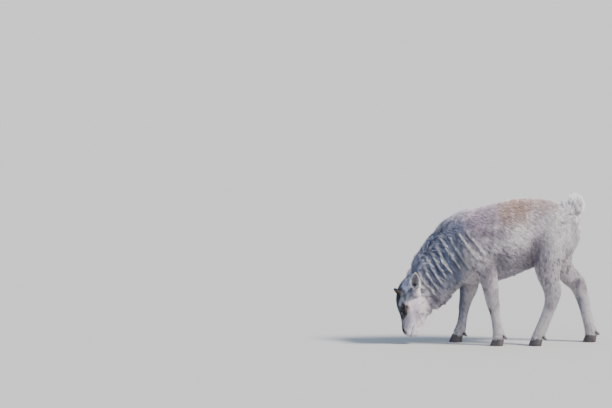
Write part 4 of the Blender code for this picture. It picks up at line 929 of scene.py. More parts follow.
LIES = [
    # muzzle and jaw
    Lie((-0.335, 0.012, 0.033), (-0.5, 0.4, 0.6), 3.5, 0.7),
    Lie((-0.371, 0.012, 0.070), (0.0, 0.2, 1.0), 4.5, 0.9),
    Lie((-0.350, 0.036, 0.080), (0.1, 0.0, 1.0), 5, 1.1),
    Lie((-0.325, 0.036, 0.065), (0.4, 0.0, 1.0), 5, 1.0),
    Lie((-0.300, 0.015, 0.055), (0.7, 0.0, 0.7), 7, 1.6),
    Lie((-0.280, 0.020, 0.095), (0.8, 0.0, 0.5), 9, 2.5),
    # face
    Lie((-0.373, 0.000, 0.100), (-0.1, 0.0, 1.0), 5.5, 1.2),
    Lie((-0.385, 0.000, 0.145), (-0.1, 0.0, 1.0), 7, 1.8),
    Lie((-0.350, 0.044, 0.115), (0.25, 0.0, 1.0), 7, 1.5),
    Lie((-0.310, 0.040, 0.115), (0.45, 0.0, 0.9), 8, 2.2),
    Lie((-0.394, 0.000, 0.190), (0.0, 0.1, 1.0), 9, 2.5),
    Lie((-0.345, 0.050, 0.175), (0.6, 0.0, 0.8), 8, 2.0),
    Lie((-0.300, 0.050, 0.160), (0.7, 0.0, 0.6), 11, 3.0),
    Lie((-0.385, 0.000, 0.235), (0.3, 0.1, 1.0), 12, 3.2),
    Lie((-0.350, 0.045, 0.225), (0.6, 0.0, 0.7), 11, 2.8),
    Lie((-0.290, 0.052, 0.205), (0.8, 0.0, 0.2), 15, 4.0),
    Lie((-0.262, 0.030, 0.140), (0.75, 0.0, -0.3), 20, 5.0, 0.3),
    Lie((-0.350, 0.000, 0.285), (0.5, 0.0, 0.85), 17, 4.5),
    # nape
    Lie((-0.325, 0.000, 0.340), (0.35, 0.1, 0.80), 28, 19.0, 0.52),
    Lie((-0.280, 0.000, 0.410), (0.42, 0.1, 0.80), 28, 19.0, 0.52),
    Lie((-0.220, 0.000, 0.485), (0.60, 0.1, 0.65), 27, 17.0, 0.48),
    Lie((-0.160, 0.000, 0.543), (0.9, 0.1, 0.2), 24, 6.5),
    # sides of the neck and throat
    Lie((-0.270, 0.048, 0.370), (0.72, 0.0, -0.45), 30, 7.0),
    Lie((-0.210, 0.050, 0.450), (0.72, 0.0, -0.45), 30, 7.0),
    Lie((-0.290, 0.050, 0.280), (0.6, 0.0, -0.7), 30, 7.0),
    Lie((-0.245, 0.058, 0.300), (0.57, 0.0, -0.82), 34, 8.0),
    Lie((-0.195, 0.062, 0.360), (0.57, 0.0, -0.82), 34, 8.0),
    Lie((-0.155, 0.068, 0.430), (0.6, 0.0, -0.75), 30, 7.0),
    Lie((-0.220, 0.050, 0.215), (0.6, 0.0, -0.8), 36, 9.0, 0.15),
    Lie((-0.165, 0.055, 0.265), (0.65, 0.0, -0.75), 36, 9.0, 0.15),
    Lie((-0.235, 0.000, 0.155), (0.6, 0.0, -0.75), 34, 9.0, 0.45),
    Lie((-0.185, 0.000, 0.195), (0.7, 0.0, -0.7), 38, 10.0, 0.50),
    Lie((-0.140, 0.000, 0.240), (0.75, 0.0, -0.6), 36, 9.0, 0.45),
    Lie((-0.095, 0.000, 0.255), (0.9, 0.0, -0.3), 30, 7.0, 0.30),
    # back
    Lie((-0.100, 0.000, 0.565), (1.0, 0.1, 0.1), 22, 6.0),
    Lie((0.050, 0.000, 0.600), (1.0, 0.12, 0.0), 20, 5.5),
    Lie((0.180, 0.000, 0.615), (1.0, 0.12, -0.05), 20, 5.5),
    Lie((0.290, 0.000, 0.600), (0.9, 0.1, -0.35), 20, 5.5),
    Lie((0.365, 0.000, 0.520), (0.2, 0.1, -1.0), 24, 6.0),
    # shoulder and ribs
    Lie((-0.100, 0.080, 0.460), (0.6, 0.0, -0.75), 24, 6.5),
    Lie((-0.090, 0.090, 0.380), (0.45, 0.0, -0.9), 22, 6.0),
    Lie((0.020, 0.098, 0.500), (0.85, 0.0, -0.45), 22, 6.0),
    Lie((0.050, 0.100, 0.400), (0.8, 0.0, -0.55), 24, 6.0),
    Lie((0.120, 0.105, 0.500), (0.85, 0.0, -0.45), 22, 6.0),
    Lie((0.140, 0.100, 0.390), (0.75, 0.0, -0.6), 24, 6.0),
    # belly and flank
    Lie((0.000, 0.000, 0.262), (0.95, 0.0, -0.25), 30, 10.0, 0.42),
    Lie((0.060, 0.050, 0.285), (0.9, 0.0, -0.35), 30, 10.0, 0.42),
    Lie((0.120, 0.000, 0.300), (0.95, 0.0, -0.2), 32, 11.0, 0.45),
    Lie((0.170, 0.030, 0.325), (0.8, 0.0, -0.5), 30, 10.0, 0.42),
    Lie((0.175, 0.090, 0.370), (0.5, 0.0, -0.85), 24, 6.0),
    # rump and thigh
    Lie((0.260, 0.100, 0.470), (0.4, 0.0, -0.9), 20, 5.5),
    Lie((0.240, 0.100, 0.390), (0.25, 0.0, -1.0), 18, 5.0),
    Lie((0.320, 0.085, 0.500), (0.35, 0.0, -0.95), 22, 5.5),
    Lie((0.345, 0.050, 0.420), (0.0, 0.0, -1.0), 22, 5.5),
    # tail
    Lie((0.335, 0.000, 0.575), (-0.35, 0.2, 1.0), 30, 16.0, 0.45),
    Lie((0.376, 0.000, 0.565), (0.70, 0.2, 0.3), 27, 18.0, 0.60),
    Lie((0.355, 0.016, 0.580), (0.15, 0.6, 0.8), 32, 22.0, 0.55),
    Lie((0.338, 0.000, 0.600), (-0.35, 0.2, 1.0), 30, 18.0, 0.50),
    Lie((0.376, 0.000, 0.597), (0.60, 0.2, 0.8), 25, 18.0, 0.60),
    Lie((0.359, 0.000, 0.614), (0.10, 0.2, 1.0), 24, 10.0, 0.80),
    # near foreleg
    Lie((0.000, 0.070, 0.290), (0.1, 0.0, -1.0), 13, 4.0),
    Lie((0.008, 0.070, 0.210), (0.1, 0.0, -1.0), 10, 3.0),
    Lie((0.020, 0.071, 0.130), (0.1, 0.0, -1.0), 7, 1.9),
    Lie((0.035, 0.071, 0.070), (0.1, 0.0, -1.0), 8, 1.9),
    Lie((0.033, 0.071, 0.035), (-0.1, 0.0, -1.0), 11.5, 6.0, 0.42),
    # far foreleg
    Lie((-0.088, 0.070, 0.270), (0.0, 0.0, -1.0), 13, 4.0),
    Lie((-0.098, 0.070, 0.190), (-0.1, 0.0, -1.0), 10, 3.0),
    Lie((-0.112, 0.070, 0.110), (-0.1, 0.0, -1.0), 7, 1.9),
    Lie((-0.125, 0.070, 0.060), (-0.2, 0.0, -1.0), 8, 1.9),
    Lie((-0.135, 0.070, 0.035), (-0.3, 0.0, -1.0), 11.5, 6.0, 0.42),
    # near hind leg
    Lie((0.243, 0.070, 0.320), (0.1, 0.0, -1.0), 15, 4.5),
    Lie((0.252, 0.070, 0.265), (0.1, 0.0, -1.0), 11, 3.3),
    Lie((0.260, 0.071, 0.215), (0.0, 0.0, -1.0), 9, 2.6),
    Lie((0.240, 0.071, 0.140), (-0.3, 0.0, -1.0), 7, 2.0),
    Lie((0.205, 0.071, 0.060), (-0.25, 0.0, -1.0), 8, 1.9),
    Lie((0.195, 0.071, 0.035), (-0.2, 0.0, -1.0), 11.5, 6.0, 0.42),
    # far hind leg
    Lie((0.305, 0.070, 0.330), (0.4, 0.0, -1.0), 15, 4.5),
    Lie((0.340, 0.070, 0.280), (0.6, 0.0, -0.8), 11, 3.3),
    Lie((0.380, 0.070, 0.230), (0.5, 0.0, -0.9), 9, 2.6),
    Lie((0.407, 0.070, 0.130), (0.2, 0.0, -1.0), 7, 2.0),
    Lie((0.430, 0.070, 0.060), (0.15, 0.0, -1.0), 8, 1.9),
    Lie((0.432, 0.070, 0.035), (0.0, 0.0, -1.0), 11.5, 6.0, 0.42),
]
# Ears: the back of the cup, and its inside
EAR_BACK_LENGTH, EAR_BACK_RISE = 9.0, 2.2
EAR_INSIDE_LENGTH, EAR_INSIDE_RISE = 15.0, 13.0
# Share of these lengths at distances from an ear's root: long in the cup, short at the tip
EAR_HAIR_AT = (0.0, 0.030, 0.052, 0.078)
EAR_HAIR_SHARE = (1.5, 1.25, 0.75, 0.35)
# How much short and long tufts gather in locks, and how wide apart the locks are
BODY_GATHER = (0.15, 0.65)
LOCK_SIZES = (0.006, 0.018)
EAR_GATHER = 0.2
EAR_LOCK_SIZE = 0.005
EAR_SPACING = 0.0012
# Free places round eyes, nostrils and the roots of the ears
EYE_BARE = EYE_RADIUS + 0.0012
NOSTRIL_BARE = 0.0062
EAR_ROOT_BARE = 0.0060
LIP_BARE = 0.0006
TUFT_SINK = 0.0012
PATCH = 0.003


class Roots:
    """Places on the skin where tufts grow: their face's way out, and their place on the unwrap."""

    def __init__(self, place, out, unwrap):
        self.place = place
        self.out = out
        self.unwrap = unwrap

    def kept(self, which):
        return Roots(self.place[which], self.out[which], self.unwrap[which])


def unwrapped(skin):
    """Adds the map of the skin's own shape that skin and coat share."""
    bpy.context.view_layer.objects.active = skin
    skin.select_set(True)
    skin.data.uv_layers.new(name="OFBake")
    bpy.ops.object.mode_set(mode="EDIT")
    bpy.ops.mesh.select_all(action="SELECT")
    bpy.ops.uv.smart_project(angle_limit=math.radians(66), island_margin=0.002)
    bpy.ops.object.mode_set(mode="OBJECT")


# A face larger than this, in square metres, closes a cut and is bare
CUT_AREA = 1e-4
# Cells of the grid that spaces the roots, against the spacing asked for
CELL_ROOM = 1.12
# Distance between roots: that of the shortest tufts, and what a tuft's length adds
ROOTS_APART = 0.00125
ROOTS_APART_BY_LENGTH = 0.052
# How softly the lie of the coat goes from one given place to the next
LIE_BLUR = 0.008


def scattered(skin, faces, spacing_at, luck):
    """Roots spread evenly over a range of the skin's faces, about spacing_at(place) apart."""
    data = skin.data
    data.calc_loop_triangles()
    count = len(data.loop_triangles)
    corners = np.empty(count * 3, int)
    loops = np.empty(count * 3, int)
    owners = np.empty(count, int)
    data.loop_triangles.foreach_get("vertices", corners)
    data.loop_triangles.foreach_get("loops", loops)
    data.loop_triangles.foreach_get("polygon_index", owners)
    mine = (owners >= faces[0]) & (owners < faces[1])
    corners = corners.reshape(-1, 3)[mine]
    loops = loops.reshape(-1, 3)[mine]
    co = places(data)
    normals = np.empty(len(co) * 3)
    data.vertices.foreach_get("normal", normals)
    normals = normals.reshape(-1, 3)
    unwrap = np.empty(len(data.loops) * 2)
    data.uv_layers["OFBake"].data.foreach_get("uv", unwrap)
    unwrap = unwrap.reshape(-1, 2)

    a, b, c = (co[corners[:, k]] for k in range(3))
    areas = np.linalg.norm(np.cross(b - a, c - a), axis=1) / 2
    spacing = spacing_at((a + b + c) / 3)
    wanted = areas / spacing**2 * 4
    wanted[areas > CUT_AREA] = 0  # the flat faces that close a cut
    total = int(wanted.sum())
    chosen = luck.choice(len(areas), total, p=wanted / wanted.sum())
    share = luck.random((total, 2))
    over = share.sum(axis=1) > 1
    share[over] = 1 - share[over]
    weights = np.column_stack([1 - share.sum(axis=1), share])[:, :, None]
    place = (co[corners[chosen]] * weights).sum(axis=1)
    out = (normals[corners[chosen]] * weights).sum(axis=1)
    out /= np.linalg.norm(out, axis=1)[:, None]
    on_map = (unwrap[loops[chosen]] * weights).sum(axis=1)

    # at most one root in each cell of a grid as fine as the spacing there
    level = np.round(np.log2(spacing[chosen] * 1000) * 4)
    size = 2 ** (level / 4) / 1000 * CELL_ROOM
    cell = np.floor(place / size[:, None]).astype(int)
    first = np.unique(np.column_stack([level.astype(int), cell]), axis=0, return_index=True)[1]
    return Roots(place, out, on_map).kept(np.sort(first))


def lie_at(points):
    """Way, length, rise and freedom of the coat, blended from the nearest lies."""
    table = np.array([lie.values for lie in LIES])
    both = points * (1, 0, 1) + np.abs(points) * (0, 1, 0)
    total = np.zeros((len(points), 6))
    weights = np.zeros(len(points))
    for row in table:
        weight = 1 / (((both - row[:3]) ** 2).sum(axis=1) + LIE_BLUR**2) ** 2
        total += weight[:, None] * row[3:]
        weights += weight
    total /= weights[:, None]
    way = total[:, :3].copy()
    way[:, 1] *= np.sign(points[:, 1])
    way /= np.linalg.norm(way, axis=1)[:, None]
    return way, total[:, 3] / 1000, total[:, 4] / 1000, total[:, 5]


def spacing_of(length):
    """How far apart tufts of a length grow."""
    return ROOTS_APART + ROOTS_APART_BY_LENGTH * length


COAT_PARTS = ("way", "length", "rise", "free", "gather", "lock_size")


class Coat:
    """Growing tufts: their roots, ways, lengths, rises, freedom and how much they gather in locks."""

    def __init__(self, roots, way, length, rise, free, gather, lock_size):
        self.roots = roots
        self.way = way
        self.length = length
        self.rise = rise
        self.free = free
        self.gather = gather
        self.lock_size = lock_size


def joined_coats(coats):
    roots = [coat.roots for coat in coats]
    return Coat(
        Roots(
            np.vstack([each.place for each in roots]),
            np.vstack([each.out for each in roots]),
            np.vstack([each.unwrap for each in roots]),
        ),
        *(np.concatenate([getattr(coat, part) for coat in coats]) for part in COAT_PARTS),
    )


def before_head_plane(points):
    """How far the points lie on the head's side of the plane where its skin begins."""
    return (points - np.array(HEAD_PLANE)) @ np.array(HEAD_PLANE_WAY)


def body_coat(skin, ranges, luck):
    """The tufts of body and head."""
    found = []
    for part in ("body", "head"):
        roots = scattered(skin, ranges[part], lambda at: spacing_of(lie_at(at)[1]), luck)
        ahead = before_head_plane(roots.place)
        both = np.abs(roots.place) * (0, 1, 0) + roots.place * (1, 0, 1)
        keep = ahead < 0 if part == "body" else ahead > 0
        for centre, bare in (
            (EYE_CENTRE, EYE_BARE),
            (NOSTRIL_CENTRE, NOSTRIL_BARE),
            (EAR_ROOT, EAR_ROOT_BARE),
        ):
            keep &= np.linalg.norm(both - centre, axis=1) > bare
        lips = far_from(roots.place[:, (0, 2)], np.array(MOUTH_LINE))
        keep &= (lips > LIP_BARE) | (roots.place[:, 2] > MUZZLE_TOP)
        on_foot = (roots.place[:, 2] < CORONET_HEIGHT + 0.004) & (roots.place[:, 0] > BEHIND_HEAD)
        keep &= ~(on_foot & (roots.out[:, 2] < -0.9))  # the flat ends of the legs, over the hooves
        roots = roots.kept(keep)
        way, length, rise, free = lie_at(roots.place)
        long = rising(length, 0.012, 0.030)
        gather = np.interp(long, (0, 1), BODY_GATHER)
        found.append(Coat(roots, way, length, rise, free, gather, np.interp(long, (0, 1), LOCK_SIZES)))
    return joined_coats(found)


def ear_coat(skin, ranges, luck):
    """Short fur on the back of each ear and softer hair inside the cup."""
    found = []
    for side, part in ((-1, "ear_left"), (1, "ear_right")):
        roots = scattered(skin, ranges[part], lambda at: np.full(len(at), EAR_SPACING), luck)
        along = np.array(ear_way(side))
        reach = (roots.place - np.array(side_point(EAR_ROOT, side))) @ along
        grown = reach > 0.001
        roots, reach = roots.kept(grown), reach[grown]
        share = np.interp(reach, EAR_HAIR_AT, EAR_HAIR_SHARE)
        facing = np.array(side_point(EAR_FACING, side).normalized())
        inside = roots.out @ facing > 0.15
        count = len(roots.place)
        way = along + np.where(inside[:, None], facing * 0.35, 0.0)
        way = way / np.linalg.norm(way, axis=1)[:, None]
        length = np.where(inside, EAR_INSIDE_LENGTH, EAR_BACK_LENGTH) / 1000 * share
        rise = np.where(inside, EAR_INSIDE_RISE, EAR_BACK_RISE) / 1000 * share
        free = np.where(inside, 0.6, 0.1)
        gather = np.full(count, EAR_GATHER)
        found.append(Coat(roots, way, length, rise, free, gather, np.full(count, EAR_LOCK_SIZE)))
    return joined_coats(found)


# Spread of the tufts' ways, lengths, rises and widths, and the lift of a free tip
WAY_SPREAD = 0.13
LENGTH_SPREAD = (0.75, 1.2)
RISE_SPREAD = (0.6, 1.25)
WIDTH_SPREAD = (0.7, 1.2)
FREE_LIFT = 0.5

LASHES = 34
LASH_LENGTH = 0.0095


def lashes(side):
    """The row of dark hairs along the rim of the upper lid."""
    over = np.array(eye_frame(side)[2])
    ways = np.array(lid_ways(side, 1.0, LASHES * 2))[2 : LASHES - 1]
    place = np.array(side_point(EYE_CENTRE, side)) + ways * (EYE_RADIUS + LID_RADIUS * 1.7)
    count = len(place)
    unwrap = np.column_stack([np.arange(count) * PATCH, np.full(count, 0.5 + 0.1 * side)])
    ahead = unit(ways * 0.9 + over * 0.45)
    even = np.ones(count)
    roots = Roots(place, ways, unwrap)
    return Coat(roots, ahead, even * LASH_LENGTH, even * 0.0006, even, even * 0.1, even * 0.004)


def unit(vectors):
    return vectors / np.maximum(np.linalg.norm(vectors, axis=1), 1e-9)[:, None]


def tips_of(coat, tree, luck):
    """Each tuft's way along the skin and where its tip lies, gathered in locks with its neighbours."""
    place, out = coat.roots.place, coat.roots.out
    flat = unit(coat.way - out * (coat.way * out).sum(axis=1)[:, None])
    free = coat.free[:, None]
    way = unit(flat * (1 - free) + coat.way * free + luck.normal(0, WAY_SPREAD, place.shape))
    length = coat.length * luck.uniform(*LENGTH_SPREAD, len(place))
    rise = coat.rise * luck.uniform(*RISE_SPREAD, len(place))
    far = place + way * length[:, None]
    near = np.empty_like(far)
    near_out = np.empty_like(far)
    for i, point in enumerate(far):
        spot, normal = tree.find_nearest(point)[:2]
        near[i] = spot
        near_out[i] = normal
    tips = (near + near_out * rise[:, None]) * (1 - free) + (far + out * rise[:, None] * FREE_LIFT) * free

    # neighbours lean to the tip of the nearest of some leading tufts
    cell = np.floor(place / coat.lock_size[:, None]).astype(int)
    leaders = np.unique(cell, axis=0, return_index=True)[1]
    tree_of_leaders = KDTree(len(leaders))
    for i, leader in enumerate(leaders):
        tree_of_leaders.insert(place[leader] + way[leader] * length[leader] * 0.5, i)
    tree_of_leaders.balance()
    middles = place + way * length[:, None] * 0.5
    led_by = np.array([leaders[tree_of_leaders.find(point)[1]] for point in middles])
    lean = coat.gather[:, None] * luck.uniform(0.5, 1.0, len(place))[:, None]
    return way, rise, tips + (tips[led_by] - tips) * lean, led_by


# Share of the length, of the width and of the thickness at each station of a tuft
LONG_STATIONS = [(0.0, 0.70, 0.9), (0.30, 1.0, 1.0), (0.70, 0.66, 0.7), (1.0, 0.0, 0.0)]
MIDDLE_STATIONS = [(0.0, 0.85, 0.9), (0.48, 0.90, 0.9), (1.0, 0.0, 0.0)]
SHORT_STATIONS = [(0.0, 1.0, 1.0), (1.0, 0.0, 0.0)]
# Ending of the piece's name, stations, shortest and longest tuft
KINDS = [
    ("_long", LONG_STATIONS, 0.0255, 1.0),
    ("", MIDDLE_STATIONS, 0.0118, 0.0255),
    ("_short", SHORT_STATIONS, 0.0, 0.0118),
]
# How far along a tuft it bends over
BEND_AT = 0.40
TUFT_WIDTH = 0.66
TUFT_THICKNESS = 0.45
# Spread of the tufts' shades and of the locks', and the shades from root to middle to tip
TUFT_SHADES = (0.85, 1.10)
LOCK_SHADES = (0.74, 1.12)
LOCK_CONTRAST = 1.6
SHADES_ALONG = (0.68, 0.97, 1.08)


def tuft_mesh(name, coat, tree, luck, stations, material, hex_colour=None, slimness=1.0):
    """Closed three-sided tufts that rise from the skin, bend over and end in a point."""
    way, rise, tips, led_by = tips_of(coat, tree, luck)
    roots, out = coat.roots.place - coat.roots.out * TUFT_SINK, coat.roots.out
    width = spacing_of(coat.length) * luck.uniform(*WIDTH_SPREAD, len(roots)) * TUFT_WIDTH * slimness
    bend = roots + way * coat.length[:, None] * BEND_AT + out * (rise + TUFT_SINK)[:, None]
    count = len(roots)
    rows = []
    shares = []
    for t, broad, thick in stations:
        middle = roots * (1 - t) ** 2 + bend * 2 * t * (1 - t) + tips * t * t
        if broad == 0:
            rows.append(middle[:, None])
            shares.append(t)
            continue
        ahead = unit((bend - roots) * (1 - t) + (tips - bend) * t)
        across = unit(np.cross(ahead, out))
        up = np.cross(across, ahead)
        half = (width / 2 * broad)[:, None]
        top = middle + up * (width * TUFT_THICKNESS * thick)[:, None]
        rows.append(np.stack([middle - across * half, middle + across * half, top], axis=1))
        shares += [t] * 3
    points = np.concatenate(rows, axis=1)
    per_tuft = points.shape[1]
    rings = len(stations) - 1
    faces = [[2, 1, 0]]
    for ring in range(rings - 1):
        for k in range(3):
            one, two = 3 * ring + k, 3 * ring + (k + 1) % 3
            faces.append([one, two, two + 3, one + 3])
    last = 3 * (rings - 1)
    faces += [[last + k, last + (k + 1) % 3, per_tuft - 1] for k in range(3)]

    data = bpy.data.meshes.new(name)
    data.vertices.add(count * per_tuft)
    data.vertices.foreach_set("co", points.ravel())
    sizes = np.tile([len(face) for face in faces], count)
    corners = np.concatenate(faces)
    loops = (np.arange(count)[:, None] * per_tuft + corners).ravel()
    data.loops.add(len(loops))
    data.loops.foreach_set("vertex_index", loops)
    data.polygons.add(len(sizes))
    data.polygons.foreach_set("loop_start", np.concatenate([[0], np.cumsum(sizes)[:-1]]))
    data.polygons.foreach_set("use_smooth", np.ones(len(sizes), bool))
    data.update(calc_edges=True)

    if hex_colour:
        colours = linear(hex_colour) + np.zeros((count, 1))
    else:
        colours = coat_colour(coat.roots.place)
    colours = colours * luck.uniform(*TUFT_SHADES, count)[:, None]
    shades = luck.uniform(*LOCK_SHADES, count)[led_by]
    colours = colours * (1 - coat.gather * (1 - shades) * LOCK_CONTRAST)[:, None]
    along = np.interp(shares, (0, 0.5, 1), SHADES_ALONG)
    colour_points(data, np.clip(colours[:, None] * along[None, :, None], 0, 1).reshape(-1, 3))
    in_patch = np.array([(k % 3 / 2, t) for k, t in zip(range(per_tuft), shares)]) * PATCH
    on_map = coat.roots.unwrap[:, None] + in_patch
    data.uv_layers.new(name="OFBake").data.foreach_set("uv", on_map[:, corners].ravel())
    data.materials.append(material)
    return add_object(name, data)


# The pieces of the trunk's coat reach back to these places from the piece before
TRUNK_PIECES = [(0.165, "coat_ribs_"), (0.020, "coat_shoulder_"), (-0.145, "coat_neck_")]
FEWEST_TUFTS = 50


def some_of(coat, chosen):
    return Coat(coat.roots.kept(chosen), *(getattr(coat, part)[chosen] for part in COAT_PARTS))


def coat_pieces(coat, tree, luck, material):
    """The coat in pieces that are named for where they grow."""
    x, y, z = coat.roots.place.T
    on_head = before_head_plane(coat.roots.place) > 0
    side = np.where(y < 0, "left", "right")
    region = np.full(len(x), "coat_rump_", dtype="U24")
    for end, trunk in TRUNK_PIECES:
        region[x < end] = trunk
    fore = (z < 0.285) & (x < 0.06) & (np.abs(y) > 0.040) & (x > -0.17)
    hind = (z < 0.345) & (x > 0.14)
    region[fore] = "coat_foreleg_"
    region[hind] = "coat_hindleg_"
    region = np.char.add(region, side)
    region[(z > 0.566) & (x > 0.325) & (np.abs(y) < 0.03)] = "coat_tail"
    region[on_head] = "coat_head"
    # the kinds of tufts mix where the coat's length changes
    length = coat.length * luck.uniform(0.8, 1.2, len(x))
    made = []
    for name in np.unique(region):
        for word, stations, shortest, longest in KINDS:
            chosen = (region == name) & (length >= shortest) & (length < longest)
            if chosen.sum() < FEWEST_TUFTS:
                continue
            made.append(tuft_mesh(str(name) + word, some_of(coat, chosen), tree, luck, stations, material))
    return made


# Materials

def add(tree, kind, inputs=None, **settings):
    """Adds a node with its settings. An input is a value or another node's output."""
    node = tree.nodes.new(kind)
    for key, value in settings.items():
        setattr(node, key, value)
    for key, value in (inputs or {}).items():
        if isinstance(value, bpy.types.NodeSocket):
            tree.links.new(value, node.inputs[key])
        else:
            node.inputs[key].default_value = value
    return node


def finish_with(tree, inputs):
    shader = add(tree, "ShaderNodeBsdfPrincipled", inputs)
    add(tree, "ShaderNodeOutputMaterial", {"Surface": shader.outputs["BSDF"]})


# Cells in a metre of the patterns on hair, bare skin, horn and velvet
STREAK_CELLS = 260.0
SKIN_CELLS = 700.0
HORN_CELLS = 1500.0
HORN_CLOUDS = 60.0
VELVET_CELLS = 900.0


def noise(tree, place, cells, detail):
    return add(tree, "ShaderNodeTexNoise", {"Vector": place, "Scale": cells, "Detail": detail})


def bumps(tree, height, strength, depth):
    return add(tree, "ShaderNodeBump", {"Height": height, "Strength": strength, "Distance": depth})


def stretched(tree, value, low, high):
    """The value's 0 to 1 drawn out to low to high."""
    return add(tree, "ShaderNodeMapRange", {"Value": value, "To Min": low, "To Max": high})


def coat_material():
    """Short summer hair: dull, pale at the tips, with a faint bloom of light at its edges."""
    made = material("Reindeer coat hair")
    tree = made.node_tree
    marking = add(tree, "ShaderNodeAttribute", attribute_name="marking")
    place = add(tree, "ShaderNodeTexCoord")
    streak = noise(tree, place.outputs["Object"], STREAK_CELLS, 2.0)
    shade = stretched(tree, streak.outputs["Fac"], 0.84, 1.14)
    tinted = add(
        tree,
        "ShaderNodeVectorMath",
        {0: marking.outputs["Color"], 1: shade.outputs["Result"]},
        operation="MULTIPLY",
    )
    finish_with(tree, {
        "Base Color": tinted.outputs["Vector"],
        "Roughness": 0.88,
        "Specular IOR Level": 0.25,
        "Sheen Weight": 0.18,
        "Sheen Roughness": 0.5,
    })
    return made


def skin_material():
    """Skin under short fur: the coat's colours, dull, with the fine grain of flat hair."""
    made = material("Skin with short fur")
    tree = made.node_tree
    marking = add(tree, "ShaderNodeAttribute", attribute_name="marking")
    place = add(tree, "ShaderNodeTexCoord")
    grain = noise(tree, place.outputs["Object"], SKIN_CELLS, 3.0)
    bump = bumps(tree, grain.outputs["Fac"], 0.5, 0.0008)
    finish_with(tree, {
        "Base Color": marking.outputs["Color"],
        "Roughness": 0.8,
        "Specular IOR Level": 0.3,
        "Normal": bump.outputs["Normal"],
    })
    return made


def horn_material():
    """Hoof horn: dark grey keratin, a little glossy, with broad clouds and fine upright grain."""
    made = material("Hoof horn keratin")
    tree = made.node_tree
    place = add(tree, "ShaderNodeTexCoord")
    fine = add(tree, "ShaderNodeMapping", {"Vector": place.outputs["Object"], "Scale": (1.0, 1.0, 0.12)})
    grain = noise(tree, fine.outputs["Vector"], HORN_CELLS, 3.0)
    broad = noise(tree, place.outputs["Object"], HORN_CLOUDS, 3.0)
    patterns = {0: grain.outputs["Fac"], 1: broad.outputs["Fac"]}
    both = add(tree, "ShaderNodeMath", patterns, operation="MULTIPLY")
    colour = add(tree, "ShaderNodeValToRGB", {"Fac": both.outputs["Value"]})
    colour.color_ramp.elements[0].position = 0.12
    colour.color_ramp.elements[0].color = (*linear("#2A2627"), 1)
    colour.color_ramp.elements[1].position = 0.42
    colour.color_ramp.elements[1].color = (*linear("#5A5152"), 1)
    bump = bumps(tree, grain.outputs["Fac"], 0.35, 0.0004)
    finish_with(tree, {
        "Base Color": colour.outputs["Color"],
        "Roughness": 0.42,
        "IOR": 1.54,
        "Normal": bump.outputs["Normal"],
    })
    return made


def eye_material():
    """A wet eye: near-black brown iris with a darker level pupil under a clear hard gloss."""
    made = material("Wet eye")
    tree = made.node_tree
    marking = add(tree, "ShaderNodeAttribute", attribute_name="marking")
    finish_with(tree, {
        "Base Color": marking.outputs["Color"],
        "Roughness": 0.06,
        "IOR": 1.38,
        "Coat Weight": 0.2,
        "Coat Roughness": 0.02,
    })
    return made


# Eyes, hooves and antler buds

def node_points(name):
    return places(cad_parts[name].data)


def eye(name, material):
    """An eyeball with a bulging cornea, iris and level pupil, where the solid eye is."""
    side = -1 if name.endswith("left") else 1
    low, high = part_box(name)
    centre = (low + high) / 2
    made = ball(name + "_ball", (0, 0, 0), 1.0, 64, 48)
    co = places(made.data)
    outward, along, over = (np.array(each) for each in eye_frame(side))
    spin = Matrix.Rotation(HEAD_TURN, 3, "Z")
    outward, along, over = (np.array(spin @ Vector(each)) for each in (outward, along, over))
    off = np.stack([co @ along, co @ over], axis=1)
    facing = co @ outward
    angle = np.degrees(np.arccos(np.clip(facing, -1, 1)))
    bulge = 1 + 0.06 * np.clip(1 - (angle / 40) ** 2, 0, 1)
    fibre = 0.5 + 0.5 * np.sin(np.arctan2(off[:, 1], off[:, 0]) * 40)
    colours = linear("#1A0F0A") + (linear("#352014") - linear("#1A0F0A")) * fibre[:, None]
    pupil = (off[:, 0] / 0.42) ** 2 + (off[:, 1] / 0.17) ** 2 < 1
    colours[pupil] = linear("#050405")
    colours[angle > 40] = linear("#1A1210")
    colours[angle > 52] = linear("#3A2C29")
    made.data.vertices.foreach_set("co", (np.array(centre) + co * (EYE_RADIUS * bulge)[:, None]).ravel())
    colour_points(made.data, colours)
    made.data.materials.append(material)
    made.data.shade_smooth()
    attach(made, "root")
    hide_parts(name)
    return made


CLAW_LENGTH = 0.054
CLAW_WIDTH = 0.0235
# Height, share of the full size, and how far back each level of a claw lies
CLAW_LEVELS = [
    (0.0, 0.93, 0.0),
    (0.0020, 0.985, 0.0),
    (0.0045, 1.0, 0.0005),
    (0.013, 0.95, 0.0030),
    (0.028, 0.84, 0.0074),
    (0.0315, 0.76, 0.0084),
    (0.0335, 0.56, 0.0088),
]
CLAW_INNER_WIDTH = 0.55
CLAW_TOE_TAPER = 0.42
GROWTH_RING = 0.0034
GROWTH_DEPTH = 0.0035
SOLE_EDGE = 0.0007
CLAW_STEPS = 40
CLAW_POINTS = 48


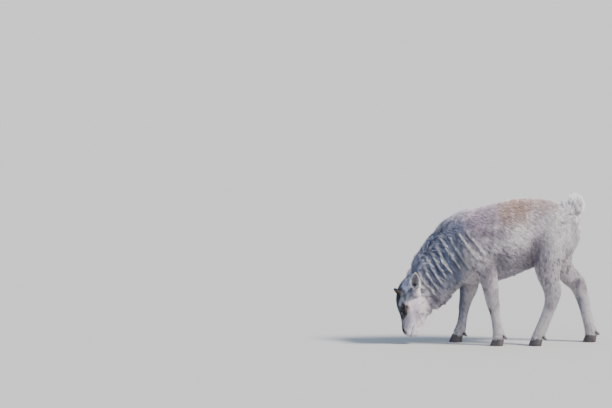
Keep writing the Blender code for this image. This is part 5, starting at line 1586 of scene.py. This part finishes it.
def claw(name, side, material):
    """Half of a cloven hoof: a flat sole, a rounded toe with growth rings, and a slanted top."""
    low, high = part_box(name)
    outer = CLAW_WIDTH / (1 + CLAW_INNER_WIDTH)
    inner_edge = high.y if side < 0 else low.y
    middle_y = inner_edge + side * outer * CLAW_INNER_WIDTH
    middle_x = (low.x + high.x) / 2
    heights, sizes, backs = np.array(CLAW_LEVELS).T
    rings = []
    for height in np.concatenate([[0.0, SOLE_EDGE], np.linspace(0.0015, heights[-1], CLAW_STEPS)]):
        size = np.interp(height, heights, sizes)
        back = np.interp(height, heights, backs)
        wave = 0.5 + 0.5 * math.cos(height / GROWTH_RING * 2 * math.pi)
        ripple = 1 - GROWTH_DEPTH * wave * min(1, height / 0.005)
        edge = 1 - 0.02 * max(0.0, 1 - height / SOLE_EDGE)
        ring = []
        for angle in np.arange(CLAW_POINTS) * 2 * math.pi / CLAW_POINTS:
            forward = math.cos(angle)
            across = math.sin(angle)
            taper = 1 - CLAW_TOE_TAPER * max(forward, 0) ** 1.6
            width = outer * (CLAW_INNER_WIDTH if across * side < 0 else 1.0) * (0.5 + size / 2)
            x = middle_x + back - forward * CLAW_LENGTH / 2 * size * ripple * edge
            lean = CORONET_SLOPE * (x - middle_x) * (height / heights[-1]) ** 2
            ring.append((x, middle_y + across * width * taper * ripple * edge, height - min(lean, 0.004)))
        rings.append(ring)
    mesh = bmesh.new()
    skin_rings(mesh, rings)
    made = from_bmesh(name + "_horn", mesh)
    made.data.shade_smooth()
    made.data.materials.append(material)
    return made


def side_of(name):
    return -1 if name.endswith("left") else 1


def knob(name, ending, way, profile, radius, material):
    """A rounded knob in a solid one's place. Its profile holds shares of the length and the radius."""
    points = node_points(name)
    reach = points @ way
    base = points[reach < reach.min() + 0.0005].mean(axis=0)
    length = reach.max() - reach.min()
    path = [base + way * length * share for share, size in profile]
    made = tube(name + ending, path, [radius * size for share, size in profile])
    made.data.shade_smooth()
    made.data.materials.append(material)
    return made


DEWCLAW_RADIUS = 0.0055
DEWCLAW_PROFILE = [
    (-0.5, 0.8),
    (-0.2, 0.95),
    (0.0, 1.0),
    (0.2, 1.0),
    (0.4, 0.96),
    (0.6, 0.86),
    (0.78, 0.70),
    (0.9, 0.48),
    (0.97, 0.28),
    (1.0, 0.08),
]


def dewclaw(name, material):
    """A small rounded claw behind the foot, where the solid one is, with its root in the skin."""
    way = np.array(Vector((0.66, side_of(name) * 0.20, -0.50)).normalized())
    return knob(name, "_horn", way, DEWCLAW_PROFILE, DEWCLAW_RADIUS, material)


def hooves(material):
    for leg in FEET:
        for side, word in ((-1, "left"), (1, "right")):
            for kind in ("hoof", "dewclaw"):
                node = f"{leg}_{kind}_{word}"
                made = claw(node, side, material) if kind == "hoof" else dewclaw(node, material)
                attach(made, "root")
                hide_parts(node)


BUD_RADIUS = 0.0078
BUD_PROFILE = [
    (-0.25, 1.1),
    (0.0, 1.08),
    (0.15, 1.05),
    (0.35, 1.0),
    (0.55, 0.92),
    (0.72, 0.80),
    (0.85, 0.62),
    (0.94, 0.40),
    (0.99, 0.12),
]


def antler_bud(name, material):
    """A knob of velvet where the solid bud is."""
    outward = side_point(BUD_WAY, side_of(name)).normalized()
    way = np.array(Matrix.Rotation(HEAD_TURN, 3, "Z") @ outward)
    made = knob(name, "_velvet", way, BUD_PROFILE, BUD_RADIUS, material)
    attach(made, "root")
    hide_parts(name)
    return made


def velvet_material():
    """Velvet of a new antler: very short dense dark brown hair."""
    made = material("Antler velvet")
    tree = made.node_tree
    place = add(tree, "ShaderNodeTexCoord")
    grain = noise(tree, place.outputs["Object"], VELVET_CELLS, 3.0)
    colour = add(tree, "ShaderNodeValToRGB", {"Fac": grain.outputs["Fac"]})
    colour.color_ramp.elements[0].position = 0.35
    colour.color_ramp.elements[0].color = (*linear("#0E0A09"), 1)
    colour.color_ramp.elements[1].position = 0.7
    colour.color_ramp.elements[1].color = (*linear("#2C211D"), 1)
    bump = bumps(tree, grain.outputs["Fac"], 0.7, 0.0008)
    finish_with(tree, {
        "Base Color": colour.outputs["Color"],
        "Roughness": 0.9,
        "Sheen Weight": 0.08,
        "Normal": bump.outputs["Normal"],
    })
    return made


# Stage

CAMERA_TARGET = (-0.804, 0.0, 0.590)
CAMERA_DISTANCE = 21.4
CAMERA_ELEVATION = math.radians(5.0)
CAMERA_LENS = 300.0
SENSOR = 36.0


def stage():
    mesh = bmesh.new()
    bmesh.ops.create_grid(mesh, x_segments=1, y_segments=1, size=60.0)
    floor = from_bmesh("floor", mesh)
    made = material("Pale studio floor")
    finish_with(made.node_tree, {"Base Color": (*linear("#A9A7A4"), 1), "Roughness": 0.9})
    floor.data.materials.append(made)

    world = bpy.data.worlds.new("Pale room")
    world.use_nodes = True
    world.node_tree.nodes["Background"].inputs["Color"].default_value = (0.62, 0.76, 1.0, 1)
    world.node_tree.nodes["Background"].inputs["Strength"].default_value = 1.05
    bpy.context.scene.world = world

    key = bpy.data.lights.new("Key", "SUN")
    key.energy = 8.5
    key.angle = math.radians(14)
    key.color = (1.0, 0.94, 0.86)
    lamp = bpy.data.objects.new("Key", key)
    lamp.rotation_euler = Vector((0.72, -0.30, 0.78)).to_track_quat("Z", "Y").to_euler()
    bpy.context.scene.collection.objects.link(lamp)


def camera():
    lens = bpy.data.cameras.new("Camera")
    lens.lens = CAMERA_LENS
    lens.sensor_width = SENSOR
    lens.clip_end = 200
    made = bpy.data.objects.new("Camera", lens)
    away = Vector((0.0, -math.cos(CAMERA_ELEVATION), math.sin(CAMERA_ELEVATION)))
    made.location = Vector(CAMERA_TARGET) + away * CAMERA_DISTANCE
    made.rotation_euler = away.to_track_quat("Z", "Y").to_euler()
    bpy.context.scene.collection.objects.link(made)
    bpy.context.scene.camera = made


FLESH = ["torso", "neck", "head", "tail", "ear_left", "ear_right"]
FLESH += [f"{leg}_{part}" for leg in FEET for part in ("upper", "lower")]
SEED = 11


def main():
    luck = np.random.default_rng(SEED)
    skin, ranges = whole_skin()
    unwrapped(skin)
    tree = BVHTree.FromPolygons(places(skin.data).tolist(), [face.vertices for face in skin.data.polygons])
    coat = body_coat(skin, ranges, luck)
    ears = ear_coat(skin, ranges, luck)
    hair = coat_material()
    tufts = coat_pieces(coat, tree, luck, hair)
    tufts.append(tuft_mesh("coat_ears", ears, tree, luck, SHORT_STATIONS, hair))
    rims = joined_coats([lashes(-1), lashes(1)])
    tufts.append(tuft_mesh("lashes", rims, tree, luck, MIDDLE_STATIONS, hair, BLACK, 0.35))
    colour_points(skin.data, skin_colour(places(skin.data)))
    skin.data.materials.append(skin_material())
    skin.data.shade_smooth()
    for piece in [skin, *tufts]:
        settle(piece)
        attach(piece, "root")
    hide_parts(*FLESH)

    wet = eye_material()
    eye("eye_left", wet)
    eye("eye_right", wet)
    hooves(horn_material())
    velvet = velvet_material()
    antler_bud("antler_bud_left", velvet)
    antler_bud("antler_bud_right", velvet)
    stage()
    camera()

main()
